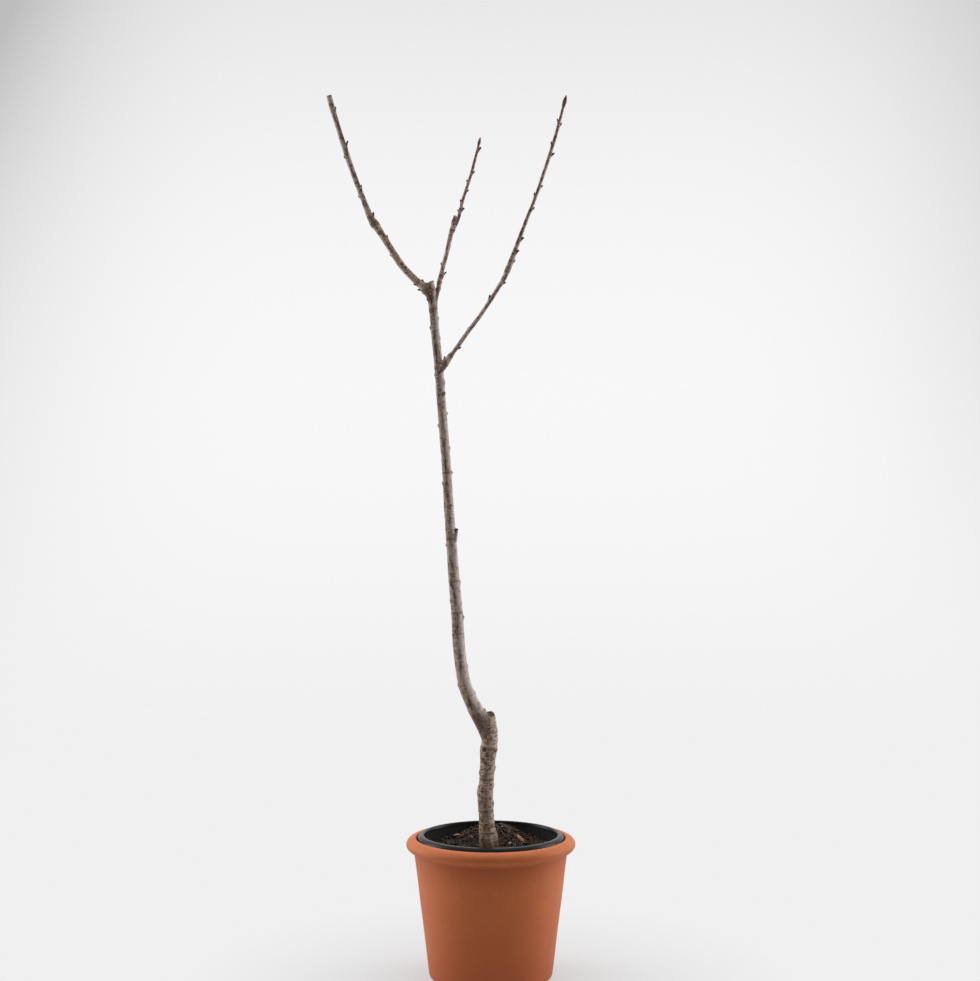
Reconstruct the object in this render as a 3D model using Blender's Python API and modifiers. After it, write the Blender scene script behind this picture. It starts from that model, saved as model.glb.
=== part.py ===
"""A young grafted cherry tree in winter, in its nursery pot, stood in a clay pot.

Units are metres, +Z is up. The origin is the centre of the clay pot's flat underside.
+X is the viewer's right from the front, and the front looks towards -Y.
"""

import math
import random

import bmesh
import bpy
from mathutils import Matrix, Vector, noise

MM = 0.001
CLEARANCE = 0.3 * MM

# Clay pot, radii and heights
CLAY_BASE_RADIUS = 90.6 * MM
CLAY_WALL_SLOPE = 0.1226
CLAY_WALL = 9.0 * MM
CLAY_FLOOR = 12.0 * MM
CLAY_FOOT_ROUND = 7.0 * MM
CLAY_FLOOR_ROUND = 5.0 * MM
CLAY_OPENING_RADIUS = 110.2 * MM
CLAY_SHOULDER = 178.0 * MM
OPENING_ROUND = (4.0 * MM, 9.0 * MM)
OPENING_ROUND_HEIGHT = 199.0 * MM
OPENING_EDGE_DROP = 1.4 * MM
BEAD_RADIUS = 112.0 * MM
BEAD_HALF_WIDTH = 13.0 * MM
BEAD_HALF_HEIGHT = 9.9 * MM
BEAD_HEIGHT = 196.2 * MM
BEAD_FOOT = 184.8 * MM
BEAD_FILLET = 3.0 * MM

# Nursery pot, standing on the clay pot's floor
NURSERY_FOOT = CLAY_FLOOR + CLEARANCE
NURSERY_WALL = 1.5 * MM
NURSERY_FLOOR_RADIUS = 78.0 * MM
NURSERY_WALL_SLOPE = 0.107
NURSERY_TOP = 210.4 * MM
NURSERY_LIP_RADIUS = 108.6 * MM
NURSERY_LIP_DEPTH = 12.0 * MM
# Half width and height of the lip's inner curve, its flat top and its outer curve's height
LIP_INSIDE = (2.2 * MM, 5.0 * MM)
LIP_FLAT = 1.0 * MM
LIP_OUTSIDE_HEIGHT = 7.0 * MM
NURSERY_WALL_TOP = 201.0 * MM
NURSERY_FLOOR_BEVEL = 2.0 * MM

# Soil: flat at the trunk, higher at the back, with a heap right behind the trunk
SOIL_FOOT_LEVEL = 186.0 * MM
SOIL_LOW_LEVEL = 176.0 * MM
SOIL_BACK_RISE = 18.0 * MM
SOIL_HEAP = 14.0 * MM
SOIL_HEAP_CENTRE = 5.0 * MM
SOIL_HEAP_HALF_WIDTH = 42.0 * MM
SOIL_SLOPE_PLACE = 12.0 * MM
SOIL_SLOPE_LENGTH = 25.0 * MM
SOIL_CRUMBS = 1.6 * MM
SOIL_CRUMB_SIZE = 13.0 * MM
SOIL_FLAT_RADIUS = 24.0 * MM
SOIL_RINGS = 8

TURNED_STEPS = 48

# Limbs. A station is x, y, height above the ground and diameter, in millimetres.
ROOTSTOCK = (
    (-4.6, 0.0, 176, 24.6),
    (-4.6, 0.0, 196, 24.4),
    (-5.2, -0.5, 214, 23.8),
    (-6.5, -1.0, 237, 22.2),
    (-8.2, -1.8, 267, 22.6),
    (-6.2, -2.3, 292, 21.4),
    (-4.7, -2.8, 316, 22.0),
    (-3.8, -2.8, 332, 24.2),
    (-0.9, -2.5, 350, 21.0),
    (-0.8, -2.4, 362, 20.8),
    (-0.9, -2.2, 374, 18.0),
    (-0.6, -2.0, 384, 14.6),
    (-0.2, -1.8, 391, 11.8),
    (0.0, -1.6, 402, 10.4),
)
STEM = (
    (-2.4, -2.6, 338, 15.0),
    (-3.6, -2.5, 352, 16.4),
    (-8.8, -2.3, 366, 21.2),
    (-23.3, -1.8, 396, 22.2),
    (-32.4, -1.0, 414, 19.6),
    (-39.2, 0.0, 434, 19.0),
    (-43.7, 0.9, 458, 18.2),
    (-47.2, 2.0, 488, 18.0),
    (-50.4, 4.2, 540, 17.2),
    (-54.9, 5.2, 591, 16.3),
    (-58.5, 5.4, 644, 15.2),
    (-62.0, 5.6, 689, 14.5),
    (-65.4, 5.8, 748, 13.6),
    (-69.6, 5.2, 802, 13.6),
    (-74.2, 3.8, 860, 13.1),
    (-77.3, 2.8, 903, 12.9),
    (-82.7, 1.5, 956, 12.6),
    (-84.5, 0.8, 980, 12.3),
    (-87.4, 0.4, 1000, 11.8),
    (-88.4, 0.0, 1015, 12.2),
    (-89.6, 0.0, 1036, 8.0),
)
BOUGH_LEFT = (
    (-88.6, 0.0, 1010, 15.0),
    (-97.2, -1.8, 1018, 14.2),
    (-104.5, -3.6, 1024, 10.8),
    (-115.9, -5.7, 1034, 10.5),
    (-132.4, -10.9, 1052, 10.5),
    (-148.9, -18.2, 1077, 9.4),
    (-160.4, -23.1, 1095, 9.7),
    (-170.6, -27.6, 1110, 12.7),
)
SHOOT_LEFT = (
    (-169.4, -27.0, 1107, 12.2),
    (-176.0, -29.6, 1118, 9.6),
    (-186.7, -36.4, 1145, 8.0),
    (-199.3, -44.8, 1178, 7.8),
    (-210.8, -53.1, 1212, 8.0),
    (-221.1, -61.5, 1245, 7.2),
    (-228.9, -68.2, 1271, 8.0),
    (-233.4, -72.4, 1289, 7.6),
)
BOUGH_MIDDLE = (
    (-84.4, 0.0, 990, 7.6),
    (-81.5, 2.6, 1006, 7.6),
    (-77.8, 5.7, 1019, 7.0),
    (-76.0, 8.9, 1031, 7.0),
    (-74.2, 10.4, 1036, 7.6),
    (-72.5, 13.5, 1046, 6.2),
    (-67.9, 18.9, 1065, 6.6),
    (-63.6, 24.4, 1084, 6.8),
    (-59.9, 29.8, 1102, 7.0),
    (-56.8, 32.5, 1112, 8.6),
    (-55.3, 34.0, 1120, 7.0),
    (-53.5, 36.0, 1131, 5.4),
)
SHOOT_MIDDLE = (
    (-55.4, 33.5, 1113, 4.8),
    (-51.4, 35.6, 1120, 4.8),
    (-48.4, 39.0, 1129, 4.6),
    (-46.0, 43.0, 1140, 5.2),
    (-41.6, 51.0, 1160, 4.7),
    (-30.2, 68.3, 1199, 4.5),
    (-20.8, 85.6, 1239, 4.0),
    (-18.0, 91.0, 1252, 3.5),
)
BOUGH_RIGHT = (
    (-78.0, 0.0, 893, 9.0),
    (-71.0, -1.6, 902, 10.2),
    (-65.3, -3.2, 910, 10.4),
    (-60.3, -4.5, 917, 8.2),
    (-54.6, -5.7, 924, 6.2),
    (-38.7, -9.1, 946, 6.4),
    (-12.5, -14.4, 981, 6.1),
    (10.6, -19.6, 1016, 6.4),
    (20.3, -22.1, 1032, 7.0),
    (25.1, -23.8, 1043, 8.4),
)
SHOOT_RIGHT = (
    (23.4, -23.2, 1039, 8.2),
    (31.3, -25.8, 1059, 7.6),
    (37.7, -28.1, 1076, 6.3),
    (50.9, -32.5, 1111, 5.3),
    (64.6, -36.9, 1145, 5.0),
    (87.7, -45.8, 1213, 5.1),
    (97.8, -50.3, 1247, 4.8),
    (102.3, -52.5, 1264, 4.1),
    (106.4, -54.6, 1280, 3.8),
)

# Spacing of the rings along a limb, and the number of its sides
TRUNK_STEP = 11.0 * MM
TRUNK_SIDES = 14
LIMB_STEP = 8.5 * MM
BOUGH_SIDES = 10
SHOOT_SIDES = 8
BUD_SIDES = 6
ROOT_SIDES = 8

# Turns round a limb, in degrees: 0 is the viewer's right, 90 the back, 270 the front
# Flare of the foot: turn and how far each root's shoulder stands out, in millimetres
ROOT_SHOULDERS = ((-8, 5.0), (70, 2.0), (150, 0.8), (215, 0.8), (285, 2.5))
ROOT_SHOULDER_RADIUS = 8.0 * MM
# Each shoulder from its top to its foot: height above the soil, share of the
# stand-out, and share of its radius
ROOT_SHOULDER_SHAPE = ((40.0 * MM, -0.2, 0.4), (16.0 * MM, 1.0, 0.85), (-8.0 * MM, 0.65, 1.0))

# What stands out of the trunk. A snag is its height and turn, its tilt from the
# trunk, then its length and radius in millimetres. A bump has no tilt of its own.
TRUNK_SNAGS = (
    (649, -14, 16, 13.0, 2.6),
    (530, 6, 54, 3.0, 2.8),
    (744, 20, 54, 3.6, 2.2),
    (694, -70, 54, 3.2, 2.4),
    (504, 228, 54, 2.0, 2.2),
    (472, 120, 54, 4.6, 3.0),
    (861, -40, 54, 3.0, 2.3),
)
TRUNK_BUMPS = (
    (1002, 182, 2.6, 1.9),
    (974, 5, 2.6, 2.4),
    (961, 178, 2.8, 2.2),
    (944, -12, 2.2, 2.2),
    (923, 95, 2.4, 2.4),
    (891, 185, 2.2, 2.0),
    (880, -8, 3.0, 4.2),
    (833, 8, 3.6, 2.0),
    (816, 172, 3.4, 2.0),
    (782, -5, 2.2, 2.6),
    (764, 110, 2.6, 2.4),
    (730, 182, 2.6, 2.2),
    (711, 60, 2.4, 2.6),
    (639, 176, 2.8, 2.4),
    (611, 80, 2.6, 3.0),
    (582, 12, 2.0, 3.4),
    (557, 184, 1.6, 3.0),
    (458, 0, 2.4, 3.4),
    (433, 190, 2.4, 3.0),
    (416, 2, 2.8, 3.6),
    (389, -8, 4.0, 2.6),
)
ROOTSTOCK_BUMPS = (
    (310, 4, 2.8, 3.2),
    (302, 178, 2.2, 3.0),
    (284, 2, 1.8, 4.0),
    (274, 186, 2.4, 6.0),
    (256, -6, 2.4, 4.0),
    (247, 100, 2.2, 5.0),
    (366, 188, 3.0, 4.6),
    (338, -30, 2.4, 3.4),
)
# Buds of each limb: height in millimetres and turn
BUDS = {
    "bough_left": (
        (1087, 10), (1076, 260), (1065, 165), (1052, 110), (1040, 255), (1022, 12),
        (1019, 185), (1026, 200), (1014, 190),
    ),
    "bough_middle": (
        (1093, 100), (1077, 262), (1054, 172), (1040, 8), (1025, 60),
    ),
    "bough_right": (
        (1024, 350), (999, 190), (990, 80), (972, 265), (953, 120), (930, 350), (910, 170),
    ),
    "shoot_left": (
        (1117, 10), (1135, 255), (1147, 175), (1159, 5), (1182, 275), (1192, 95),
        (1202, 178), (1217, 0), (1238, 130), (1255, 268), (1267, 20), (1277, 110),
    ),
    "shoot_middle": (
        (1138, 185), (1141, 10), (1154, 180), (1166, 290), (1172, 0),
        (1187, 175), (1202, 5), (1214, 260), (1226, 110), (1239, 350),
    ),
    "shoot_right": (
        (1054, 10), (1063, 90), (1067, 330), (1086, 350), (1105, 90), (1121, 250),
        (1130, 0), (1148, 180), (1161, 10), (1180, 265), (1195, 100), (1206, 5),
        (1221, 178), (1240, 280), (1249, 20), (1253, 150), (1266, 95),
    ),
}
BUD_SEEDS = {
    "bough_left": 11, "bough_middle": 12, "bough_right": 13,
    "shoot_left": 21, "shoot_middle": 22, "shoot_right": 23,
}
BUD_LENGTH = 5.2 * MM
BUD_RADIUS = 1.45 * MM
SPUR_LENGTH = 7.5 * MM
SPUR_RADIUS = 1.6 * MM
# Length and radius of the large bud at each shoot's tip
TERMINAL_BUDS = {
    "shoot_middle": (9.0 * MM, 1.9 * MM),
    "shoot_right": (13.5 * MM, 2.7 * MM),
}
TERMINAL_BUD_SINK = 2.0 * MM
SPUR_CHANCE = 0.25
BUD_TILT = 25.0
BUD_SINK = 0.82
BUD_SHAPE = ((-0.45, 0.5), (-0.1, 0.85), (0.3, 1.0), (0.6, 0.8), (0.85, 0.42), (1.0, 0.1))
SPUR_SHAPE = ((-0.35, 1.15), (0.1, 0.95), (0.5, 0.85), (0.7, 1.05), (0.88, 0.6), (1.0, 0.12))
SNAG_SHAPE = ((-0.5, 1.5), (0.2, 1.25), (0.6, 1.0), (1.0, 0.95))
BUMP_SHAPE = ((-0.8, 1.5), (0.2, 1.2), (0.7, 0.8), (1.0, 0.35))
BUMP_TILT = 78.0

# Cuts: a place in millimetres and the way the cut face looks
GRAFT_CUT = ((0.2, -2.0, 387.5), (0.08, -0.55, 0.83))
TOP_CUT = ((-88.5, 0.0, 1028), (-0.42, -0.28, 0.86))
TIP_CUT = ((-233.6, -72.0, 1287), (-0.25, -0.2, 0.95))
KNOT_HOLE = ((-9.0, -13.6, 336.5), 3.2)
CUTTER_SIZE = 80.0 * MM


def clear_scene():
    """Take every object out of the open scene."""
    for thing in list(bpy.data.objects):
        bpy.data.objects.remove(thing, do_unlink=True)


def new_collection(name):
    """A collection linked under the scene."""
    group = bpy.data.collections.new(name)
    bpy.context.scene.collection.children.link(group)
    return group


clear_scene()
TREE = new_collection("potted_cherry_tree")
CUTTERS = new_collection("cutters")


def give_material(piece, colour, roughness):
    """Give a piece its own plain material."""
    material = bpy.data.materials.new(piece.name)
    material.use_nodes = True
    shader = material.node_tree.nodes["Principled BSDF"]
    shader.inputs["Base Color"].default_value = (*colour, 1.0)
    shader.inputs["Roughness"].default_value = roughness
    shader.inputs["Metallic"].default_value = 0.0
    piece.data.materials.clear()
    piece.data.materials.append(material)


def arc(centre, radii, start, end, count):
    """Points of an elliptical arc in the profile plane, angles in degrees."""
    points = []
    for i in range(count):
        angle = math.radians(start + (end - start) * i / (count - 1))
        points.append((centre[0] + radii[0] * math.cos(angle), centre[1] + radii[1] * math.sin(angle)))
    return points


def turned(name, profile):
    """A solid of revolution from a profile of radius and height, from axis to axis."""
    mesh = bpy.data.meshes.new(name)
    corners = [(radius, 0.0, height) for radius, height in profile]
    mesh.from_pydata(corners, [(i, i + 1) for i in range(len(corners) - 1)], [])
    piece = bpy.data.objects.new(name, mesh)
    TREE.objects.link(piece)
    screw = piece.modifiers.new("turn", "SCREW")
    screw.steps = TURNED_STEPS
    screw.render_steps = TURNED_STEPS
    screw.use_merge_vertices = True
    screw.merge_threshold = 0.01 * MM
    return piece


def solidified(piece):
    """Swap a piece for the mesh that its modifiers make."""
    bpy.context.view_layer.update()
    shaped = piece.evaluated_get(bpy.context.evaluated_depsgraph_get())
    mesh = bpy.data.meshes.new_from_object(shaped)
    piece.modifiers.clear()
    piece.data = mesh
    return piece


def clay_wall_radius(height):
    """Outer radius of the clay pot's tapered wall."""
    return CLAY_BASE_RADIUS + CLAY_WALL_SLOPE * height


def make_clay_pot():
    """The terracotta pot: tapered wall, half-round bead, plain floor."""
    corner = CLAY_FLOOR_ROUND
    hollow = clay_wall_radius(CLAY_FLOOR) - CLAY_WALL - corner
    opening = (CLAY_OPENING_RADIUS - OPENING_ROUND[0], OPENING_ROUND_HEIGHT)
    bead = (BEAD_HALF_WIDTH, BEAD_HALF_HEIGHT)
    profile = [(0.0, CLAY_FLOOR), (hollow, CLAY_FLOOR)]
    profile += arc((hollow, CLAY_FLOOR + corner), (corner, corner), -60, 0, 3)
    profile.append((clay_wall_radius(CLAY_SHOULDER) - CLAY_WALL, CLAY_SHOULDER))
    profile += arc(opening, OPENING_ROUND, -60, 0, 4)
    profile.append((CLAY_OPENING_RADIUS, BEAD_HEIGHT + BEAD_HALF_HEIGHT - OPENING_EDGE_DROP))
    profile += arc((BEAD_RADIUS, BEAD_HEIGHT), bead, 92, -72, 12)
    profile.append((clay_wall_radius(BEAD_FOOT) + 0.1 * BEAD_FILLET, BEAD_FOOT))
    profile.append((clay_wall_radius(BEAD_FOOT - BEAD_FILLET), BEAD_FOOT - BEAD_FILLET))
    corner = CLAY_FOOT_ROUND
    foot = clay_wall_radius(corner)
    profile += arc((foot - corner, corner), (corner, corner), 0, -90, 6)
    profile.append((0.0, 0.0))
    pot = turned("clay_pot", profile)
    give_material(pot, (0.50, 0.19, 0.085), 0.75)
    return pot


def nursery_wall_radius(height):
    """Inner radius of the nursery pot's tapered wall."""
    return NURSERY_FLOOR_RADIUS + NURSERY_WALL_SLOPE * (height - NURSERY_FOOT)


def make_nursery_pot():
    """The thin black pot with its rolled lip, inside the clay pot."""
    thin = NURSERY_WALL
    bevel = NURSERY_FLOOR_BEVEL
    floor = NURSERY_FOOT + thin
    inner = nursery_wall_radius(NURSERY_WALL_TOP)
    crest = inner + LIP_INSIDE[0]
    lip_foot = NURSERY_TOP - NURSERY_LIP_DEPTH
    inside_centre = (crest, NURSERY_TOP - LIP_INSIDE[1])
    outside_centre = (crest + LIP_FLAT, NURSERY_TOP - LIP_OUTSIDE_HEIGHT)
    outside = (NURSERY_LIP_RADIUS - outside_centre[0], LIP_OUTSIDE_HEIGHT)
    profile = [(0.0, floor), (nursery_wall_radius(floor) - bevel, floor)]
    profile.append((nursery_wall_radius(floor + bevel), floor + bevel))
    profile.append((inner, NURSERY_WALL_TOP))
    profile += arc(inside_centre, LIP_INSIDE, 172, 100, 4)
    profile += arc(outside_centre, outside, 90, 0, 6)
    profile.append((NURSERY_LIP_RADIUS, lip_foot))
    profile.append((NURSERY_LIP_RADIUS - thin, lip_foot))
    profile += arc(outside_centre, (outside[0] - thin, outside[1] - thin), 0, 90, 5)
    profile.append((inner + thin, NURSERY_WALL_TOP - bevel))
    profile.append((nursery_wall_radius(NURSERY_FOOT) + thin, NURSERY_FOOT + bevel))
    profile.append((nursery_wall_radius(NURSERY_FOOT) + thin - bevel, NURSERY_FOOT))
    profile.append((0.0, NURSERY_FOOT))
    pot = turned("nursery_pot", profile)
    give_material(pot, (0.012, 0.012, 0.013), 0.45)
    return pot


def soil_height(x, y):
    """Height of the soil: flat under the trunk, rising to a heap at the back."""
    across = math.exp(-(abs(x - SOIL_HEAP_CENTRE) / SOIL_HEAP_HALF_WIDTH) ** 4)
    behind = 1.0 / (1.0 + math.exp(-(y - SOIL_SLOPE_PLACE) / SOIL_SLOPE_LENGTH))
    crumbs = SOIL_CRUMBS * noise.noise(Vector((x, y, 0.0)) / SOIL_CRUMB_SIZE)
    height = SOIL_LOW_LEVEL + (SOIL_BACK_RISE + SOIL_HEAP * across) * behind + crumbs
    away = (math.hypot(x, y) - SOIL_FLAT_RADIUS) / SOIL_FLAT_RADIUS
    blend = min(max(away, 0.0), 1.0)
    return SOIL_FOOT_LEVEL + (height - SOIL_FOOT_LEVEL) * blend


def soil_edge(height):
    """Radius of the soil where it meets the nursery pot's wall."""
    return nursery_wall_radius(min(height, NURSERY_WALL_TOP)) - CLEARANCE


def make_soil():
    """The compost that fills the nursery pot."""
    foot = NURSERY_FOOT + NURSERY_WALL + CLEARANCE
    bevel = NURSERY_FLOOR_BEVEL
    edge = soil_edge(SOIL_LOW_LEVEL)
    profile = [(0.0, SOIL_FOOT_LEVEL), (0.5 * SOIL_FLAT_RADIUS, SOIL_FOOT_LEVEL)]
    for i in range(SOIL_RINGS):
        radius = SOIL_FLAT_RADIUS + (edge - SOIL_FLAT_RADIUS) * i / (SOIL_RINGS - 1)
        profile.append((radius, SOIL_FOOT_LEVEL))
    profile.append((soil_edge(foot + bevel), foot + bevel))
    profile.append((soil_edge(foot) - bevel, foot))
    profile.append((0.0, foot))
    soil = solidified(turned("soil", profile))
    for corner in soil.data.vertices:
        x, y, z = corner.co
        if z < 0.5 * SOIL_FOOT_LEVEL:
            continue
        corner.co.z = soil_height(x, y)
        radius = math.hypot(x, y)
        if radius > edge - CLEARANCE:
            corner.co.x = x * soil_edge(corner.co.z) / radius
            corner.co.y = y * soil_edge(corner.co.z) / radius
    give_material(soil, (0.05, 0.032, 0.022), 0.95)
    return soil


def smooth_path(stations, step):
    """Places and radii along a smooth curve through the stations."""
    places = [Vector(station[:3]) * MM for station in stations]
    radii = [0.5 * station[3] * MM for station in stations]
    along = [0.0]
    for before, after in zip(places, places[1:]):
        along.append(along[-1] + (after - before).length)
    last = len(places) - 1
    tangents = []
    for i in range(last + 1):
        low, high = max(i - 1, 0), min(i + 1, last)
        tangents.append((places[high] - places[low]) / (along[high] - along[low]))
    path = []
    for i in range(last):
        span = along[i + 1] - along[i]
        count = max(1, round(span / step))
        for k in range(count):
            t = k / count
            place = places[i] * (2 * t**3 - 3 * t**2 + 1) + places[i + 1] * (3 * t**2 - 2 * t**3)
            place += tangents[i] * span * (t**3 - 2 * t**2 + t)
            place += tangents[i + 1] * span * (t**3 - t**2)
            ease = t * t * (3 - 2 * t)
            path.append((place, radii[i] + (radii[i + 1] - radii[i]) * ease))
    path.append((places[last], radii[last]))
    return path


def tube(name, path, sides):
    """A closed tapering tube along a path, as a mesh object."""
    curve = bpy.data.curves.new(name, "CURVE")
    curve.dimensions = "3D"
    curve.bevel_depth = 1.0
    curve.bevel_resolution = (sides - 4) // 2
    curve.use_fill_caps = True
    spline = curve.splines.new("POLY")
    spline.points.add(len(path) - 1)
    for point, (place, radius) in zip(spline.points, path):
        point.co = (*place, 1.0)
        point.radius = radius
    guide = bpy.data.objects.new(name + "_line", curve)
    CUTTERS.objects.link(guide)
    bpy.context.view_layer.update()
    shaped = guide.evaluated_get(bpy.context.evaluated_depsgraph_get())
    mesh = bpy.data.meshes.new_from_object(shaped)
    weld = bmesh.new()
    weld.from_mesh(mesh)
    bmesh.ops.remove_doubles(weld, verts=weld.verts, dist=0.005 * MM)
    bmesh.ops.recalc_face_normals(weld, faces=weld.faces)
    weld.to_mesh(mesh)
    weld.free()
    piece = bpy.data.objects.new(name, mesh)
    piece.matrix_world = guide.matrix_world
    TREE.objects.link(piece)
    bpy.data.objects.remove(guide, do_unlink=True)
    return piece


def at_height(path, height):
    """Place, direction and radius of a limb where it passes a height."""
    for (low, r_low), (high, r_high) in zip(path, path[1:]):
        if low.z <= height <= high.z:
            t = (height - low.z) / (high.z - low.z)
            return low.lerp(high, t), (high - low).normalized(), r_low + (r_high - r_low) * t
    raise ValueError("the limb does not pass this height")


def outward(direction, turn):
    """The way out of a limb at a turn round it, square to its direction."""
    side = Vector((1.0, 0.0, 0.0))
    side = (side - direction * side.dot(direction)).normalized()
    angle = math.radians(turn)
    return side * math.cos(angle) + direction.cross(side) * math.sin(angle)


def outgrowth(path, height, turn, tilt, length, radius, shape):
    """A bud, spur, snag or bump that leans out of a limb by its tilt in degrees."""
    place, direction, limb_radius = at_height(path, height)
    out = outward(direction, turn)
    lean = math.radians(tilt)
    way = out * math.sin(lean) + direction * math.cos(lean)
    foot = place + out * (limb_radius * BUD_SINK)
    points = [(foot + way * (length * share), radius * width) for share, width in shape]
    return tube("outgrowth", points, BUD_SIDES)


def buds(path, limb):
    """Buds and short spurs dealt along a limb by a seeded rule."""
    dealer = random.Random(BUD_SEEDS[limb])
    grown = []
    for height, turn in BUDS[limb]:
        spur = dealer.random() < SPUR_CHANCE
        length = (SPUR_LENGTH if spur else BUD_LENGTH) * dealer.uniform(0.85, 1.15)
        radius = (SPUR_RADIUS if spur else BUD_RADIUS) * dealer.uniform(0.9, 1.15)
        tilt = BUD_TILT + dealer.uniform(-5.0, 9.0)
        shape = SPUR_SHAPE if spur else BUD_SHAPE
        grown.append(outgrowth(path, height * MM, turn, tilt, length, radius, shape))
    return grown


def terminal_bud(path, length, radius):
    """The large bud that ends a shoot."""
    place, direction = path[-1][0], (path[-1][0] - path[-2][0]).normalized()
    foot = place - direction * TERMINAL_BUD_SINK
    points = [(foot + direction * (length * share), radius * width) for share, width in BUD_SHAPE]
    return tube("terminal", points, SHOOT_SIDES)


def fuse(piece, bits):
    """Join bits to a piece with one union, then drop them."""
    group = bpy.data.collections.new(piece.name + "_bits")
    bpy.context.scene.collection.children.link(group)
    for bit in bits:
        TREE.objects.unlink(bit)
        group.objects.link(bit)
    union = piece.modifiers.new("join", "BOOLEAN")
    union.operation = "UNION"
    union.operand_type = "COLLECTION"
    union.collection = group
    union.solver = "EXACT"
    solidified(piece)
    for bit in bits:
        bpy.data.objects.remove(bit, do_unlink=True)
    bpy.data.collections.remove(group)
    return piece


def cut_with(piece, cutter):
    """Take a cutter's space out of a piece, and put the cutter away."""
    if TREE.objects.get(cutter.name):
        TREE.objects.unlink(cutter)
        CUTTERS.objects.link(cutter)
    cutter.hide_render = True
    cutter.display_type = "WIRE"
    difference = piece.modifiers.new("cut", "BOOLEAN")
    difference.operation = "DIFFERENCE"
    difference.object = cutter
    difference.solver = "EXACT"
    return solidified(piece)


def plane_cutter(name, place, normal):
    """A block whose underside is the cut face, looking along the normal."""
    mesh = bpy.data.meshes.new(name)
    block = bmesh.new()
    bmesh.ops.create_cube(block, size=CUTTER_SIZE)
    bmesh.ops.translate(block, verts=block.verts, vec=(0.0, 0.0, 0.5 * CUTTER_SIZE))
    block.to_mesh(mesh)
    block.free()
    cutter = bpy.data.objects.new(name, mesh)
    turn = Vector(normal).to_track_quat("Z", "Y").to_matrix().to_4x4()
    cutter.matrix_world = Matrix.Translation(place) @ turn
    CUTTERS.objects.link(cutter)
    bpy.context.view_layer.update()
    return cutter


def ball_cutter(name, place, radius):
    """A small ball that hollows out a knot."""
    mesh = bpy.data.meshes.new(name)
    ball = bmesh.new()
    bmesh.ops.create_uvsphere(ball, u_segments=10, v_segments=6, radius=radius)
    ball.to_mesh(mesh)
    ball.free()
    cutter = bpy.data.objects.new(name, mesh)
    cutter.matrix_world = Matrix.Translation(place)
    CUTTERS.objects.link(cutter)
    bpy.context.view_layer.update()
    return cutter


def root_shoulders(path):
    """The foot's flare: a short thick root under the bark at each turn."""
    ground = SOIL_FOOT_LEVEL + CLEARANCE
    bits = []
    for turn, stand_out in ROOT_SHOULDERS:
        points = []
        for rise, share, width in ROOT_SHOULDER_SHAPE:
            place, direction, radius = at_height(path, ground + rise)
            thick = ROOT_SHOULDER_RADIUS * width
            reach = radius + share * stand_out * MM - thick
            points.append((place + outward(direction, turn) * reach, thick))
        bits.append(tube("root", points, ROOT_SIDES))
    return bits


def make_trunk():
    """Rootstock, graft bend and stem as one solid, with its old scars and cut stubs."""
    low = smooth_path(ROOTSTOCK, TRUNK_STEP)
    high = smooth_path(STEM, TRUNK_STEP)
    trunk = tube("trunk", low, TRUNK_SIDES)
    cut_with(trunk, plane_cutter("graft_cut", Vector(GRAFT_CUT[0]) * MM, GRAFT_CUT[1]))
    stem = tube("stem", high, TRUNK_SIDES)
    bits = [stem] + root_shoulders(low)
    for height, turn, tilt, length, radius in TRUNK_SNAGS:
        bits.append(outgrowth(high, height * MM, turn, tilt, length * MM, radius * MM, SNAG_SHAPE))
    for height, turn, length, radius in TRUNK_BUMPS:
        bits.append(outgrowth(high, height * MM, turn, BUMP_TILT, length * MM, radius * MM, BUMP_SHAPE))
    for height, turn, length, radius in ROOTSTOCK_BUMPS:
        bits.append(outgrowth(low, height * MM, turn, BUMP_TILT, length * MM, radius * MM, BUMP_SHAPE))
    fuse(trunk, bits)
    ground = Vector((0.0, 0.0, SOIL_FOOT_LEVEL + CLEARANCE))
    cut_with(trunk, plane_cutter("ground_cut", ground, (0.0, 0.0, -1.0)))
    cut_with(trunk, plane_cutter("top_cut", Vector(TOP_CUT[0]) * MM, TOP_CUT[1]))
    cut_with(trunk, ball_cutter("knot_hole", Vector(KNOT_HOLE[0]) * MM, KNOT_HOLE[1] * MM))
    give_material(trunk, (0.11, 0.082, 0.062), 0.8)
    return trunk


def flank_cutter(name, stations, step, sides):
    """A limb one clearance fatter, to fit the foot of another to its side."""
    fat = [(place, radius + CLEARANCE) for place, radius in smooth_path(stations, step)]
    return tube(name, fat, sides)


def tip_cutter(name, stations):
    """The space up to one clearance past a limb's tip, to fit a shoot's foot to it."""
    path = smooth_path(stations, LIMB_STEP)
    tip, way = path[-1][0], (path[-1][0] - path[-2][0]).normalized()
    return plane_cutter(name, tip + way * CLEARANCE, -way)


def make_bough(name, stations):
    """A tapering bough whose foot is shaped to the stem."""
    path = smooth_path(stations, LIMB_STEP)
    bough = tube(name, path, BOUGH_SIDES)
    fuse(bough, buds(path, name))
    cut_with(bough, flank_cutter(name + "_seat", STEM, TRUNK_STEP, TRUNK_SIDES))
    give_material(bough, (0.12, 0.085, 0.068), 0.75)
    return bough


def make_shoot(name, stations, seat):
    """Last summer's growth: one stem with buds and spurs all round it."""
    path = smooth_path(stations, LIMB_STEP)
    shoot = tube(name, path, SHOOT_SIDES)
    bits = buds(path, name)
    if name in TERMINAL_BUDS:
        bits.append(terminal_bud(path, *TERMINAL_BUDS[name]))
    fuse(shoot, bits)
    cut_with(shoot, seat)
    give_material(shoot, (0.13, 0.08, 0.07), 0.6)
    return shoot


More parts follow.
